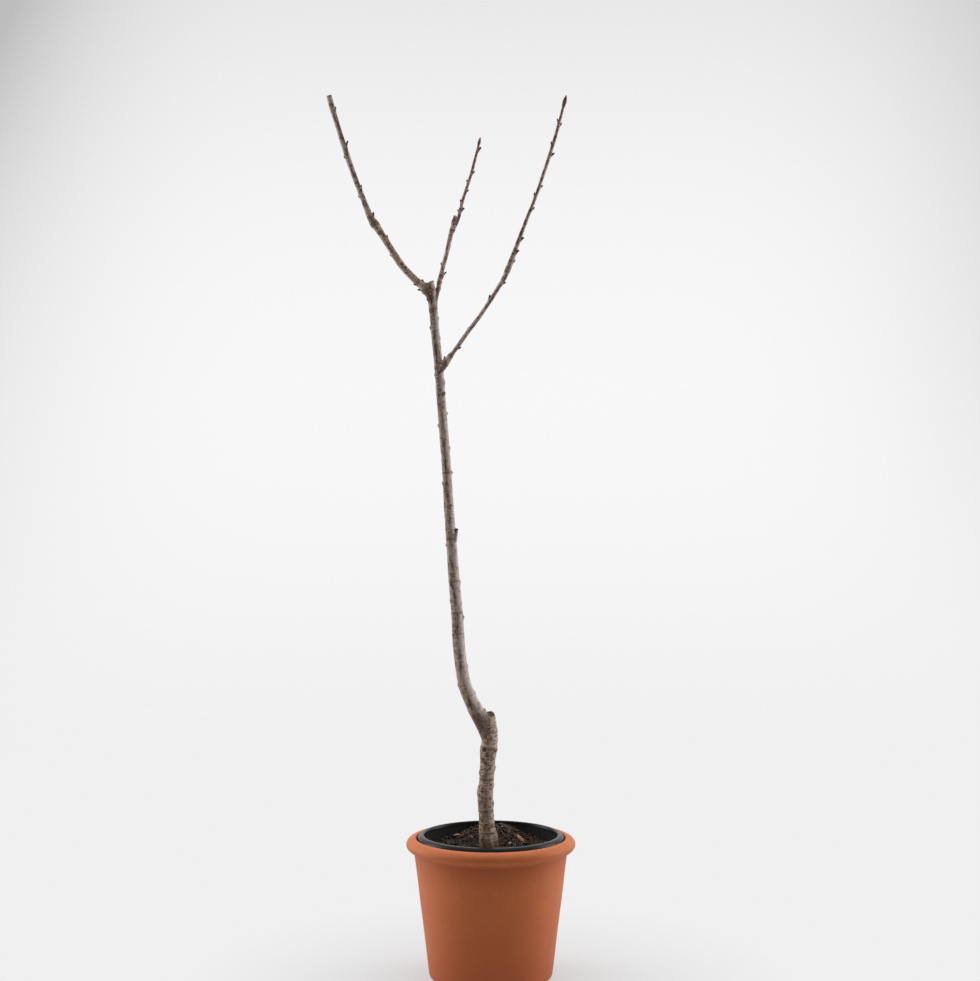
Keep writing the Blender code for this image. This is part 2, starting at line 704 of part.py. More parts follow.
make_clay_pot()
make_nursery_pot()
make_soil()
make_trunk()
make_bough("bough_left", BOUGH_LEFT)
make_bough("bough_middle", BOUGH_MIDDLE)
make_bough("bough_right", BOUGH_RIGHT)
left_shoot = make_shoot("shoot_left", SHOOT_LEFT, tip_cutter("shoot_left_seat", BOUGH_LEFT))
cut_with(left_shoot, plane_cutter("pruned_tip", Vector(TIP_CUT[0]) * MM, TIP_CUT[1]))
middle_seat = flank_cutter("shoot_middle_seat", BOUGH_MIDDLE, LIMB_STEP, BOUGH_SIDES)
make_shoot("shoot_middle", SHOOT_MIDDLE, middle_seat)
make_shoot("shoot_right", SHOOT_RIGHT, tip_cutter("shoot_right_seat", BOUGH_RIGHT))
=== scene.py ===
# %% [markdown]
# # A young cherry tree in its pot
#
# This lesson dresses a plain model of a grafted cherry in winter, standing in a black nursery
# pot inside a clay pot. The solids give the true sizes. Each step below swaps one of them for
# a finely made piece in the same place, from the pots at the bottom to the buds at the top.

import math
import random

import bmesh
import bpy
import numpy as np
from mathutils import Euler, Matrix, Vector, noise


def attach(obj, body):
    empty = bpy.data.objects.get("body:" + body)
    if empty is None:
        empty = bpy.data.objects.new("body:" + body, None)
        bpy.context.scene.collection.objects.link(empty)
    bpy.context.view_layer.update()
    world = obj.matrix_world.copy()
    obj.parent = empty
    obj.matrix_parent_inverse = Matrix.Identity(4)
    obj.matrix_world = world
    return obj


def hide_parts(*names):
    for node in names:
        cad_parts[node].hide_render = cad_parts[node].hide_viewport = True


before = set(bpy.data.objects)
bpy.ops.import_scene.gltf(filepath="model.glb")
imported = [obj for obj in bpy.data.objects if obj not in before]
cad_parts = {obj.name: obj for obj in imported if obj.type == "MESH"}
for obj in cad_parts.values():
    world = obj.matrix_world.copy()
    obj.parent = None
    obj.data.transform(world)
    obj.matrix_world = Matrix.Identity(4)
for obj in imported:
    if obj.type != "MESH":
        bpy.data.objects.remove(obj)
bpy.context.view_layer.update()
MM = 0.001

# %% [markdown]
# ## The camera
#
# The picture was taken with a level camera about two and a half metres in front of the tree,
# a little above half its height. A level camera keeps upright things upright, so its tilt is
# exactly 90 degrees. The lens is a short telephoto, which flattens the pot's rim.

# %% Camera
# The picture's width on the camera's plate and its lens, in millimetres.
PLATE_WIDTH = 36.0
LENS = 62.39
CAMERA_PLACE = (-0.0012, -2.518, 0.7187)

camera = bpy.data.objects.new("camera", bpy.data.cameras.new("camera"))
camera.data.sensor_width = PLATE_WIDTH
camera.data.lens = LENS
camera.location = CAMERA_PLACE
camera.rotation_euler = (math.radians(90.0), 0.0, 0.0)
bpy.context.scene.collection.objects.link(camera)
bpy.context.scene.camera = camera
bpy.context.scene.view_settings.view_transform = "Standard"
print("camera at", [round(place, 3) for place in camera.location])

# %% [markdown]
# ## Helpers for finishes
#
# A finish is a Principled shader with a few pattern nodes in front of it. Adding and wiring
# nodes takes many lines, so these small helpers do it: one adds a node and fills its sockets
# by name, and the others are the patterns that a natural surface needs most often.


# %% Node helpers
def new_finish(name, roughness):
    """A material with its Principled shader, ready for patterns."""
    finish = bpy.data.materials.new(name)
    finish.use_nodes = True
    shader = finish.node_tree.nodes["Principled BSDF"]
    shader.inputs["Roughness"].default_value = roughness
    return finish, shader


def plug(finish, socket, value):
    """Give a socket a value, or wire another node's output to it."""
    if isinstance(value, bpy.types.NodeSocket):
        finish.node_tree.links.new(value, socket)
    else:
        socket.default_value = value


def add_node(finish, kind, settings=(), **sockets):
    """Add a node. Sockets are named with _ for a space."""
    made = finish.node_tree.nodes.new("ShaderNode" + kind)
    for setting, value in dict(settings).items():
        setattr(made, setting, value)
    for name, value in sockets.items():
        plug(finish, made.inputs[name.replace("_", " ")], value)
    return made


# %% Pattern helpers
def spread(finish, value, low, high, to_low=0.0, to_high=1.0):
    """Stretch the part of a pattern between low and high to a new range, and clip the rest."""
    names = {"From_Min": low, "From_Max": high, "To_Min": to_low, "To_Max": to_high}
    return add_node(finish, "MapRange", Value=value, **names).outputs["Result"]


def blotches(finish, place, size, detail=3.0, stretch=(1.0, 1.0, 1.0), roughness=0.55):
    """Noise with blotches of about one size in metres, longer where stretch is above 1."""
    scale = [1.0 / (size * factor) for factor in stretch]
    placed = add_node(finish, "Mapping", Vector=place, Scale=scale).outputs["Vector"]
    names = {"Scale": 1.0, "Detail": detail, "Roughness": roughness}
    return add_node(finish, "TexNoise", Vector=placed, **names).outputs["Fac"]


def blend(finish, share, first, second):
    """Mix two colours by a share from 0 to 1."""
    mixer = add_node(finish, "Mix", {"data_type": "RGBA"})
    plug(finish, mixer.inputs[0], share)
    for socket, colour in zip((mixer.inputs[6], mixer.inputs[7]), (first, second)):
        plug(finish, socket, colour if isinstance(colour, bpy.types.NodeSocket) else (*colour, 1.0))
    return mixer.outputs[2]


def times(finish, first, second):
    """Multiply two patterns."""
    product = add_node(finish, "Math", {"operation": "MULTIPLY"})
    plug(finish, product.inputs[0], first)
    plug(finish, product.inputs[1], second)
    return product.outputs[0]


def plus(finish, first, second):
    """Add two patterns."""
    total = add_node(finish, "Math", {"operation": "ADD"})
    plug(finish, total.inputs[0], first)
    plug(finish, total.inputs[1], second)
    return total.outputs[0]


def raised(finish, height, depth, under=None):
    """A bump of a real depth in metres, laid over the one under it."""
    bump = add_node(finish, "Bump", Height=height, Distance=depth, Strength=1.0)
    if under is not None:
        plug(finish, bump.inputs["Normal"], under)
    return bump.outputs["Normal"]


# %% [markdown]
# ## The studio
#
# The tree stands on pale paper that rolls up into a wall far behind it. Two tall soft lamps
# stand at its sides, a little behind it, so its edges are bright and its middle is darker.
# The wall only glows by itself and casts nothing: brightest behind the middle of the tree and
# dimmer towards the picture's sides and top, most at the left. The floor is partly real near
# the pot, to take its shadow, and turns into the same glow further out. Past 45 centimetres it
# belongs to the wall, and so it casts nothing there either.

# %% Studio finishes
FLOOR_RADIUS = 2.6
BEND_RADIUS = 1.6
WALL_TOP = 5.0
WALL_RADIUS = FLOOR_RADIUS + BEND_RADIUS
BEND_STEPS = 12
NEAR_FLOOR = 0.45
PAPER = (0.50, 0.50, 0.50)
GLOW = (0.935, 0.935, 0.94)
GLOW_SIDE = (0.57, 0.57, 0.575)
# The glow is brightest at this height, and fades over this far above and below it.
GLOW_HEIGHT = 1.1
GLOW_REACH = 2.0
# How strong the glow still is where it has faded.
GLOW_FADED = 0.865
# High up it fades sideways more: by these factors this far left and right of the middle.
CORNER_PLACE = 1.8
CORNER_FADES = (3.4, 1.6)
# Up to this far from the pot's middle the floor glows by this share. At its edge it only glows.
FLOOR_GLOW_START = 0.12
FLOOR_GLOW_SHARE = 0.5


def paper_finish():
    """Pale paper near the tree, its own soft glow further off."""
    finish, shader = new_finish("paper", 0.95)
    shader.inputs["Base Color"].default_value = (*PAPER, 1.0)
    shader.inputs["Specular IOR Level"].default_value = 0.1
    place = add_node(finish, "TexCoord").outputs["Object"]
    split = add_node(finish, "SeparateXYZ", Vector=place)
    corner = 0.5 * WALL_RADIUS**2
    across = times(finish, split.outputs["X"], split.outputs["Y"])
    across = spread(finish, across, -corner, corner, -1.0, 1.0)
    low, high = GLOW_HEIGHT - GLOW_REACH, GLOW_HEIGHT + GLOW_REACH
    up = spread(finish, split.outputs["Z"], low, high, -1.0, 1.0)
    across, up = times(finish, across, across), times(finish, up, up)
    sideways = times(finish, times(finish, across, across), across)
    corners = spread(finish, split.outputs["X"], -CORNER_PLACE, CORNER_PLACE, *CORNER_FADES)
    sideways = times(finish, sideways, spread(finish, up, 0.0, 0.6, 1.0, corners))
    sideways = times(finish, sideways, spread(finish, split.outputs["Y"], 0.0, 1.0, 0.0, 1.0))
    colour = blend(finish, spread(finish, sideways, 0.0, 0.6), GLOW, GLOW_SIDE)
    level = spread(finish, up, 0.0, 0.6, 1.0, GLOW_FADED)
    away = add_node(finish, "VectorMath", {"operation": "LENGTH"}, Vector=place).outputs["Value"]
    far = spread(finish, away, FLOOR_GLOW_START, NEAR_FLOOR, FLOOR_GLOW_SHARE, 1.0)
    glow = add_node(finish, "Emission", Color=colour, Strength=level).outputs["Emission"]
    mixed = add_node(finish, "MixShader", Fac=far)
    plug(finish, mixed.inputs[1], shader.outputs["BSDF"])
    plug(finish, mixed.inputs[2], glow)
    output = finish.node_tree.nodes["Material Output"]
    plug(finish, output.inputs["Surface"], mixed.outputs["Shader"])
    return finish


# %% Floor and wall
def bowl(name, outline, finish):
    """A round backdrop turned from an outline of radius and height."""
    sheet = bmesh.new()
    corners = [sheet.verts.new((radius, 0.0, height)) for radius, height in outline]
    edges = [sheet.edges.new(pair) for pair in zip(corners, corners[1:])]
    turn = {"axis": (0, 0, 1), "cent": (0, 0, 0), "angle": math.tau, "steps": 96, "use_merge": True}
    bmesh.ops.spin(sheet, geom=corners + edges, **turn)
    mesh = bpy.data.meshes.new(name)
    sheet.to_mesh(mesh)
    sheet.free()
    mesh.shade_smooth()
    mesh.materials.append(finish)
    made = bpy.data.objects.new(name, mesh)
    bpy.context.scene.collection.objects.link(made)
    return made


paper = paper_finish()
bowl("floor", [(0.0, 0.0), (0.2, 0.0), (NEAR_FLOOR, 0.0)], paper)
wall_outline = [(NEAR_FLOOR, 0.0), (FLOOR_RADIUS, 0.0)]
for i in range(1, BEND_STEPS + 1):
    angle = math.radians(90.0 * i / BEND_STEPS)
    across = FLOOR_RADIUS + BEND_RADIUS * math.sin(angle)
    wall_outline.append((across, BEND_RADIUS * (1.0 - math.cos(angle))))
wall_outline.append((WALL_RADIUS, WALL_TOP))
wall = bowl("wall", wall_outline, paper)
for unseen in ("visible_diffuse", "visible_glossy", "visible_shadow"):
    setattr(wall, unseen, False)
print("floor to", NEAR_FLOOR, "m, wall from there to", WALL_TOP, "m up")

# %% [markdown]
# The lamps are area lights, large so that their edges stay soft. The sky round the studio
# gives the fill light. It is dim in front of the tree and bright behind it, because the lit
# backdrop sends light forward while the side behind the camera is dark. It also brightens
# overhead, where a studio has its ceiling panel, which lights the rims from above. Below the
# horizon it is the light that the far floor sends up: less on the viewer's side, because the
# light there comes from behind the tree.

# %% Lamps and fill light
LAMP_TURN = 105.0
LAMP_DISTANCE = 1.75
LAMP_SIZE = (0.9, 1.9)
LAMP_HEIGHT = 0.75
LAMP_AIM = 0.6
LAMP_POWER = 23.0
# Headings run from -1 to 1: from the viewer's side to behind the tree, or from below to above.
FILL_HEADINGS = (-0.5, 0.9)
CEILING_START = 0.2
HORIZON = -0.02
FLOOR_HEADINGS = (-0.25, -0.02)
FILL_FRONT = 0.05
FILL_BACK = 0.95
FILL_ABOVE = 1.0
FLOOR_FRONT = 0.24
FLOOR_BACK = 0.55


def lamp(name, turn):
    """A soft lamp that faces the tree, at a turn from the camera's side."""
    light = bpy.data.lights.new(name, "AREA")
    light.shape = "RECTANGLE"
    light.size, light.size_y = LAMP_SIZE
    light.energy = LAMP_POWER
    made = bpy.data.objects.new(name, light)
    angle = math.radians(turn)
    across, behind = LAMP_DISTANCE * math.sin(angle), -LAMP_DISTANCE * math.cos(angle)
    made.location = (across, behind, LAMP_HEIGHT)
    towards = Vector((0.0, 0.0, LAMP_AIM)) - made.location
    made.rotation_euler = towards.to_track_quat("-Z", "Y").to_euler()
    made.visible_camera = False
    bpy.context.scene.collection.objects.link(made)


lamp("lamp_right", LAMP_TURN)
lamp("lamp_left", -LAMP_TURN)

sky = bpy.data.worlds.new("fill")
sky.use_nodes = True
bpy.context.scene.world = sky
heading = add_node(sky, "TexCoord").outputs["Generated"]
split = add_node(sky, "SeparateXYZ", Vector=heading)
behind = spread(sky, split.outputs["Y"], *FILL_HEADINGS, FILL_FRONT, FILL_BACK)
overhead = spread(sky, split.outputs["Z"], CEILING_START, 1.0, 0.0, FILL_ABOVE)
from_above = spread(sky, split.outputs["Z"], HORIZON, 0.0, 0.0, 1.0)
from_below = spread(sky, split.outputs["Z"], HORIZON, 0.0, 1.0, 0.0)
floor_light = spread(sky, split.outputs["Y"], *FLOOR_HEADINGS, FLOOR_FRONT, FLOOR_BACK)
upper = times(sky, plus(sky, behind, overhead), from_above)
strength = plus(sky, upper, times(sky, floor_light, from_below))
plug(sky, sky.node_tree.nodes["Background"].inputs["Strength"], strength)
plug(sky, sky.node_tree.nodes["Background"].inputs["Color"], (1.0, 1.0, 1.0, 1.0))
print("lamps at", LAMP_TURN, "degrees, fill", FILL_FRONT, "to", FILL_BACK)

# %% [markdown]
# ## Making a piece
#
# Every piece below is worked out as arrays of points and faces, because bark, clay and crumbs
# are mostly arithmetic on many points. One helper turns the arrays into a mesh, gives it its
# finish, lets it ride with the tree and hides the plain solid that it stands for. The others
# make the faces between rings of points, store numbers for a finish to read, and give noise.


# %% Piece helpers
def grid_faces(rings, sides, start=0):
    """Four-cornered faces between rings of points that close round."""
    ring, side = np.meshgrid(np.arange(rings - 1), np.arange(sides), indexing="ij")
    after = (side + 1) % sides
    corners = [ring * sides + side, ring * sides + after]
    corners += [(ring + 1) * sides + after, (ring + 1) * sides + side]
    return start + np.stack(corners, axis=-1).reshape(-1, 4)


def new_piece(name, points, faces, finish, stands_for=()):
    """A smooth mesh piece that rides on the tree's one body."""
    mesh = bpy.data.meshes.new(name)
    mesh.from_pydata(np.asarray(points).tolist(), [], [list(face) for face in faces])
    mesh.validate()
    mesh.shade_smooth()
    mesh.materials.append(finish)
    piece = bpy.data.objects.new(name, mesh)
    bpy.context.scene.collection.objects.link(piece)
    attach(piece, "root")
    if stands_for:
        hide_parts(*stands_for)
    print(name, len(mesh.vertices), "points")
    return piece


def mark_points(piece, name, values):
    """Store three numbers for each point, for the finish to read."""
    store = piece.data.attributes.new(name, "FLOAT_VECTOR", "POINT")
    store.data.foreach_set("vector", np.asarray(values, np.float32).ravel())


def grain(places, size):
    """Smooth noise from -1 to 1 at each place, with features of about one size."""
    flat = (np.asarray(places).reshape(-1, 3) / size).tolist()
    found = np.array([noise.noise(place) for place in flat])
    return found.reshape(np.asarray(places).shape[:-1])


# %% [markdown]
# ## Turned pots
#
# Both pots are round, so each is a profile of radius and height, carried round the axis. A
# real pot is never quite round or level. A few tenths of a millimetre of slow noise, added to
# the radius, keep the highlights on the rim from looking machined.

# %% Turning
POT_SEGMENTS = 224


def arc(centre, radii, start, end, count):
    """Points of an elliptical arc in the profile plane, angles in degrees."""
    angles = np.radians(np.linspace(start, end, count))
    across = centre[0] + radii[0] * np.cos(angles)
    up = centre[1] + radii[1] * np.sin(angles)
    return list(zip(across, up))


def straight(start, end, spacing):
    """Points on a straight stretch of a profile, without its end."""
    length = math.dist(start, end)
    count = max(1, round(length / spacing))
    return [tuple(np.add(start, np.subtract(end, start) * k / count)) for k in range(count)]


def turned(profile, wobble, size):
    """Points and faces of a pot turned from its profile, from axis to axis."""
    turns = np.linspace(0.0, math.tau, POT_SEGMENTS, endpoint=False)
    middle = np.array(profile[1:-1])
    places = np.empty((len(middle), POT_SEGMENTS, 3))
    places[..., 0] = middle[:, :1] * np.cos(turns)
    places[..., 1] = middle[:, :1] * np.sin(turns)
    places[..., 2] = middle[:, 1:]
    swell = 1.0 + wobble * grain(places, size) / middle[:, :1]
    places[..., :2] *= swell[..., None]
    points = np.vstack([places.reshape(-1, 3), (0.0, 0.0, profile[0][1]), (0.0, 0.0, profile[-1][1])])
    faces = grid_faces(len(middle), POT_SEGMENTS)[:, ::-1].tolist()
    top, foot = len(points) - 2, len(points) - 1
    last = (len(middle) - 1) * POT_SEGMENTS
    for k in range(POT_SEGMENTS):
        after = (k + 1) % POT_SEGMENTS
        faces.append((k, after, top))
        faces.append((last + after, last + k, foot))
    return points, faces


# %% [markdown]
# ## The clay pot
#
# Terracotta is orange-brown fired earth. Its surface is matt with a dusty skin, a fine sandy
# grain and slow changes of colour from the kiln. Painted shade darkens it towards its foot and
# on the wall under its bead. The half-round bead at the rim is an arc, and its inner side drops
# to the opening that holds the black pot.

# %% Clay finish
CLAY = (0.51, 0.131, 0.036)
CLAY_PALE = (0.64, 0.220, 0.078)
CLAY_DARK = (0.41, 0.092, 0.023)
# The darkest tone below is painted shade: at the foot up to the height after it, and under the bead.
CLAY_SHADE = (0.37, 0.082, 0.021)
FOOT_SHADE_TOP = 140 * MM
# Painted shade on the wall under the bead, darkest close to it.
BEAD_SHADE_BAND = (150 * MM, 182 * MM, 188 * MM)


def clay_finish():
    """Fired earth: kiln blotches, pale sand, small pits, and painted shade at the foot and below the
    bead.
    """
    finish, shader = new_finish("terracotta", 0.66)
    place = add_node(finish, "TexCoord").outputs["Object"]
    kiln = blotches(finish, place, 60 * MM, 4.0, (1.0, 1.0, 0.7))
    cloud = blotches(finish, place, 14 * MM, 5.0)
    sand = blotches(finish, place, 1.3 * MM, 2.0)
    colour = blend(finish, spread(finish, kiln, 0.35, 0.7, 0.0, 0.40), CLAY, CLAY_DARK)
    colour = blend(finish, spread(finish, cloud, 0.52, 0.8, 0.0, 0.22), colour, CLAY_PALE)
    colour = blend(finish, spread(finish, sand, 0.62, 0.75, 0.0, 0.25), colour, CLAY_PALE)
    colour = blend(finish, spread(finish, sand, 0.36, 0.26, 0.0, 0.35), colour, CLAY_DARK)
    height = add_node(finish, "SeparateXYZ", Vector=place).outputs["Z"]
    # Painted shade: the clay is darker towards its foot.
    colour = blend(finish, spread(finish, height, 0.0, FOOT_SHADE_TOP, 1.0, 0.0), colour, CLAY_SHADE)
    # Painted shade in a band under the bead.
    low, middle, high = BEAD_SHADE_BAND
    band = times(finish, spread(finish, height, low, middle), spread(finish, height, high, middle))
    colour = blend(finish, times(finish, band, 0.5), colour, CLAY_SHADE)
    plug(finish, shader.inputs["Base Color"], colour)
    plug(finish, shader.inputs["Roughness"], spread(finish, cloud, 0.3, 0.7, 0.52, 0.66))
    shader.inputs["Specular IOR Level"].default_value = 0.28
    grains = raised(finish, sand, 0.12 * MM)
    dents = raised(finish, blotches(finish, place, 6 * MM, 3.0), 0.25 * MM, grains)
    plug(finish, shader.inputs["Normal"], dents)
    return finish


# %% Clay pot
CLAY_BASE_RADIUS = 90.6 * MM
CLAY_WALL_SLOPE = 0.1226
CLAY_WALL = 9.0 * MM
CLAY_FLOOR = 12.0 * MM
CLAY_FOOT_ROUND = 7.0 * MM
CLAY_FLOOR_ROUND = 5.0 * MM
CLAY_SHOULDER = 178.0 * MM
CLAY_OPENING_RADIUS = 110.2 * MM
# The opening's rounded edge: the height of its middle, and its half width and half height.
OPENING_ROUND_HEIGHT = 199.0 * MM
OPENING_ROUND = (4.0 * MM, 9.0 * MM)
OPENING_EDGE_DROP = 1.4 * MM
BEAD_RADIUS = 112.0 * MM
BEAD_HALF_WIDTH = 13.0 * MM
BEAD_HALF_HEIGHT = 9.9 * MM
BEAD_HEIGHT = 196.2 * MM
BEAD_FOOT = 184.8 * MM
BEAD_FILLET = 3.0 * MM
# The fillet under the bead: how far below the bead's foot, and how far out of the wall.
FILLET_POINTS = ((-0.9, 1.5), (-0.2, 0.8), (0.7, 0.3), (1.8, 0.1))
# The rings of a turned piece start this far from the axis, and a fan of faces fills the middle.
AXIS_HOLE = 8 * MM


def clay_wall_radius(height):
    """Outer radius of the clay pot's tapered wall."""
    return CLAY_BASE_RADIUS + CLAY_WALL_SLOPE * height


def clay_profile():
    """The clay pot's outline: floor, inside, bead, wall and foot."""
    corner = CLAY_FLOOR_ROUND
    hollow = clay_wall_radius(CLAY_FLOOR) - CLAY_WALL - corner
    inner = (clay_wall_radius(CLAY_SHOULDER) - CLAY_WALL, CLAY_SHOULDER)
    outline = [(0.0, CLAY_FLOOR), *straight((AXIS_HOLE, CLAY_FLOOR), (hollow, CLAY_FLOOR), 8 * MM)]
    outline += arc((hollow, CLAY_FLOOR + corner), (corner, corner), -90, 0, 6)
    outline += straight(outline[-1], inner, 8 * MM)[1:]
    edge_centre = (CLAY_OPENING_RADIUS - OPENING_ROUND[0], OPENING_ROUND_HEIGHT)
    outline += arc(edge_centre, OPENING_ROUND, -60, 0, 6)
    outline.append((CLAY_OPENING_RADIUS, BEAD_HEIGHT + BEAD_HALF_HEIGHT - OPENING_EDGE_DROP))
    outline += arc((BEAD_RADIUS, BEAD_HEIGHT), (BEAD_HALF_WIDTH, BEAD_HALF_HEIGHT), 92, -78, 36)
    for drop, stand_out in FILLET_POINTS:
        height = BEAD_FOOT - drop * MM
        outline.append((clay_wall_radius(height) + stand_out * MM, height))
    corner = CLAY_FOOT_ROUND
    foot = clay_wall_radius(corner)
    wall_top = BEAD_FOOT - BEAD_FILLET
    outline += straight((clay_wall_radius(wall_top), wall_top), (foot, corner), 5 * MM)
    outline += arc((foot - corner, corner), (corner, corner), 0, -90, 9)
    outline += straight((foot - 2 * corner, 0.0), (AXIS_HOLE, 0.0), 10 * MM)
    return outline + [(0.0, 0.0)]


clay = clay_finish()
clay_points, clay_faces = turned(clay_profile(), 0.35 * MM, 45 * MM)
new_piece("terracotta_pot", clay_points, clay_faces, clay, ["clay_pot"])

# %% [markdown]
# ## The black nursery pot
#
# A nursery pot is thin blown plastic with a rolled lip. It is satin black, and the lip shows a
# pale line where the light catches its crest. Handling leaves fine scuffs, and watering leaves
# a film of dust on the inside above the soil.

# %% Black plastic finish
PLASTIC = (0.006, 0.006, 0.0066)
WORN_PLASTIC = (0.022, 0.0215, 0.021)
DUST = (0.050, 0.043, 0.036)
# The wall is dusty at the first of these heights and free of dust at the second. Up to there
# its plastic is worn, and from WORN_TOP up it is plain black.
DUST_LEVELS = (180 * MM, 203 * MM)
WORN_TOP = 209 * MM


def plastic_finish():
    """Satin black plastic with scuffs and a film of soil dust inside."""
    finish, shader = new_finish("black_plastic", 0.3)
    shader.inputs["Specular IOR Level"].default_value = 0.11
    place = add_node(finish, "TexCoord").outputs["Object"]
    film = blotches(finish, place, 9 * MM, 6.0, (1.0, 1.0, 1.8), 0.65)
    specks = blotches(finish, place, 1.6 * MM, 2.0)
    low = add_node(finish, "SeparateXYZ", Vector=place).outputs["Z"]
    near_soil = spread(finish, low, DUST_LEVELS[1], DUST_LEVELS[0])
    worn = blend(finish, spread(finish, low, WORN_TOP, DUST_LEVELS[1]), PLASTIC, WORN_PLASTIC)
    dusty = times(finish, spread(finish, film, 0.42, 0.72), near_soil)
    colour = blend(finish, times(finish, dusty, 0.5), worn, DUST)
    colour = blend(finish, times(finish, spread(finish, specks, 0.7, 0.76), near_soil), colour, DUST)
    plug(finish, shader.inputs["Base Color"], colour)
    plug(finish, shader.inputs["Roughness"], spread(finish, film, 0.3, 0.75, 0.20, 0.32))
    hammered = raised(finish, blotches(finish, place, 2.2 * MM, 3.0), 0.03 * MM)
    plug(finish, shader.inputs["Normal"], hammered)
    return finish


# %% Nursery pot
# Pieces that touch keep this small gap.
CLEARANCE = 0.3 * MM
NURSERY_FOOT = CLAY_FLOOR + CLEARANCE
NURSERY_WALL = 1.5 * MM
NURSERY_CORNER = 2 * MM
NURSERY_FLOOR_RADIUS = 78.0 * MM
NURSERY_WALL_SLOPE = 0.107
NURSERY_TOP = 210.4 * MM
NURSERY_LIP_RADIUS = 108.6 * MM
NURSERY_LIP_DEPTH = 12.0 * MM
NURSERY_WALL_TOP = 201.0 * MM
# Half width and height of the lip's inner curve, its flat top and its outer curve's height.
LIP_INSIDE = (2.2 * MM, 5.0 * MM)
LIP_FLAT = 1.0 * MM
LIP_OUTSIDE_HEIGHT = 7.0 * MM


def nursery_wall_radius(height):
    """Inner radius of the nursery pot's tapered wall."""
    return NURSERY_FLOOR_RADIUS + NURSERY_WALL_SLOPE * (height - NURSERY_FOOT)


def nursery_profile():
    """The black pot's outline: floor, inside wall, rolled lip, outside wall."""
    thin = NURSERY_WALL
    floor_top = NURSERY_FOOT + thin
    inner = nursery_wall_radius(NURSERY_WALL_TOP)
    crest = inner + LIP_INSIDE[0]
    lip_foot = NURSERY_TOP - NURSERY_LIP_DEPTH
    inside_centre = (crest, NURSERY_TOP - LIP_INSIDE[1])
    outside_centre = (crest + LIP_FLAT, NURSERY_TOP - LIP_OUTSIDE_HEIGHT)
    outside = (NURSERY_LIP_RADIUS - outside_centre[0], LIP_OUTSIDE_HEIGHT)
    corner = nursery_wall_radius(floor_top) - NURSERY_CORNER
    wall_foot = floor_top + NURSERY_CORNER
    wall_start = (nursery_wall_radius(wall_foot), wall_foot)
    outline = [(0.0, floor_top), *straight((AXIS_HOLE, floor_top), (corner, floor_top), 10 * MM)]
    outline += [(corner, floor_top), wall_start]
    outline += straight(wall_start, (inner, NURSERY_WALL_TOP), 5 * MM)[1:]
    outline.append((inner, NURSERY_WALL_TOP))
    outline += arc(inside_centre, LIP_INSIDE, 176, 96, 12)
    outline += arc(outside_centre, outside, 90, 0, 22)
    outline += [(NURSERY_LIP_RADIUS, lip_foot), (NURSERY_LIP_RADIUS - thin, lip_foot)]
    outline += arc(outside_centre, (outside[0] - thin, outside[1] - thin), 0, 90, 12)
    outline.append((inner + thin, NURSERY_WALL_TOP - NURSERY_CORNER))
    outer_foot = (nursery_wall_radius(NURSERY_FOOT) + thin, NURSERY_FOOT + NURSERY_CORNER)
    outline += straight(outline[-1], outer_foot, 10 * MM)[1:] + [outer_foot]
    outline.append((nursery_wall_radius(NURSERY_FOOT) - 1 * MM, NURSERY_FOOT))
    return outline + [(AXIS_HOLE, NURSERY_FOOT), (0.0, NURSERY_FOOT)]


plastic = plastic_finish()
nursery_points, nursery_faces = turned(nursery_profile(), 0.15 * MM, 50 * MM)
new_piece("black_pot", nursery_points, nursery_faces, plastic, ["nursery_pot"])

# %% [markdown]
# ## The compost
#
# Potting compost is damp peat with bark chips, threads of root and white perlite. One solid
# gives the surface its heaps. Small lumps, chips and threads lie on it as real meshes, dealt
# by a seeded rule, because a bump alone looks flat at the rim of the pot.

# %% Height of the compost
SOIL_FOOT_LEVEL = 186.0 * MM
SOIL_LOW_LEVEL = 176.0 * MM
SOIL_BACK_RISE = 18.0 * MM
SOIL_HEAP = 14.0 * MM
SOIL_HEAP_CENTRE = 5.0 * MM
SOIL_HEAP_HALF_WIDTH = 42.0 * MM
SOIL_SLOPE_PLACE = 12.0 * MM
SOIL_SLOPE_LENGTH = 25.0 * MM
SOIL_CRUMBS = 1.6 * MM
SOIL_CRUMB_SIZE = 13.0 * MM
SOIL_FLAT_RADIUS = 24.0 * MM
SOIL_FOOT = NURSERY_FOOT + NURSERY_WALL + CLEARANCE
# Height and size of the clods and of the finer crumbs on them.
CLODS = (1.5 * MM, 6 * MM)
FINE_CRUMBS = (0.8 * MM, 2.4 * MM)


def soil_height(x, y):
    """Height of the compost: flat under the trunk, rising to a heap at the back."""
    across = math.exp(-((abs(x - SOIL_HEAP_CENTRE) / SOIL_HEAP_HALF_WIDTH) ** 4))
    back = 1.0 / (1.0 + math.exp(-(y - SOIL_SLOPE_PLACE) / SOIL_SLOPE_LENGTH))
    crumbs = SOIL_CRUMBS * noise.noise(Vector((x, y, 0.0)) / SOIL_CRUMB_SIZE)
    height = SOIL_LOW_LEVEL + (SOIL_BACK_RISE + SOIL_HEAP * across) * back + crumbs
    away = (math.hypot(x, y) - SOIL_FLAT_RADIUS) / SOIL_FLAT_RADIUS
    return SOIL_FOOT_LEVEL + (height - SOIL_FOOT_LEVEL) * min(max(away, 0.0), 1.0)


def soil_edge(height):
    """Radius of the compost where it meets the nursery pot's wall."""
    return nursery_wall_radius(min(height, NURSERY_WALL_TOP)) - CLEARANCE


def fine_height(x, y):
    """The same height with clods and crumbs added."""
    clods = CLODS[0] * noise.noise(Vector((x, y, 0.03)) / CLODS[1])
    crumbs = FINE_CRUMBS[0] * noise.noise(Vector((x, y, 0.05)) / FINE_CRUMBS[1])
    return soil_height(x, y) + clods + crumbs


# %% Compost finishes
PEAT_DARK = (0.008, 0.005, 0.0035)
PEAT = (0.028, 0.016, 0.0095)
PEAT_PALE = (0.34, 0.25, 0.185)


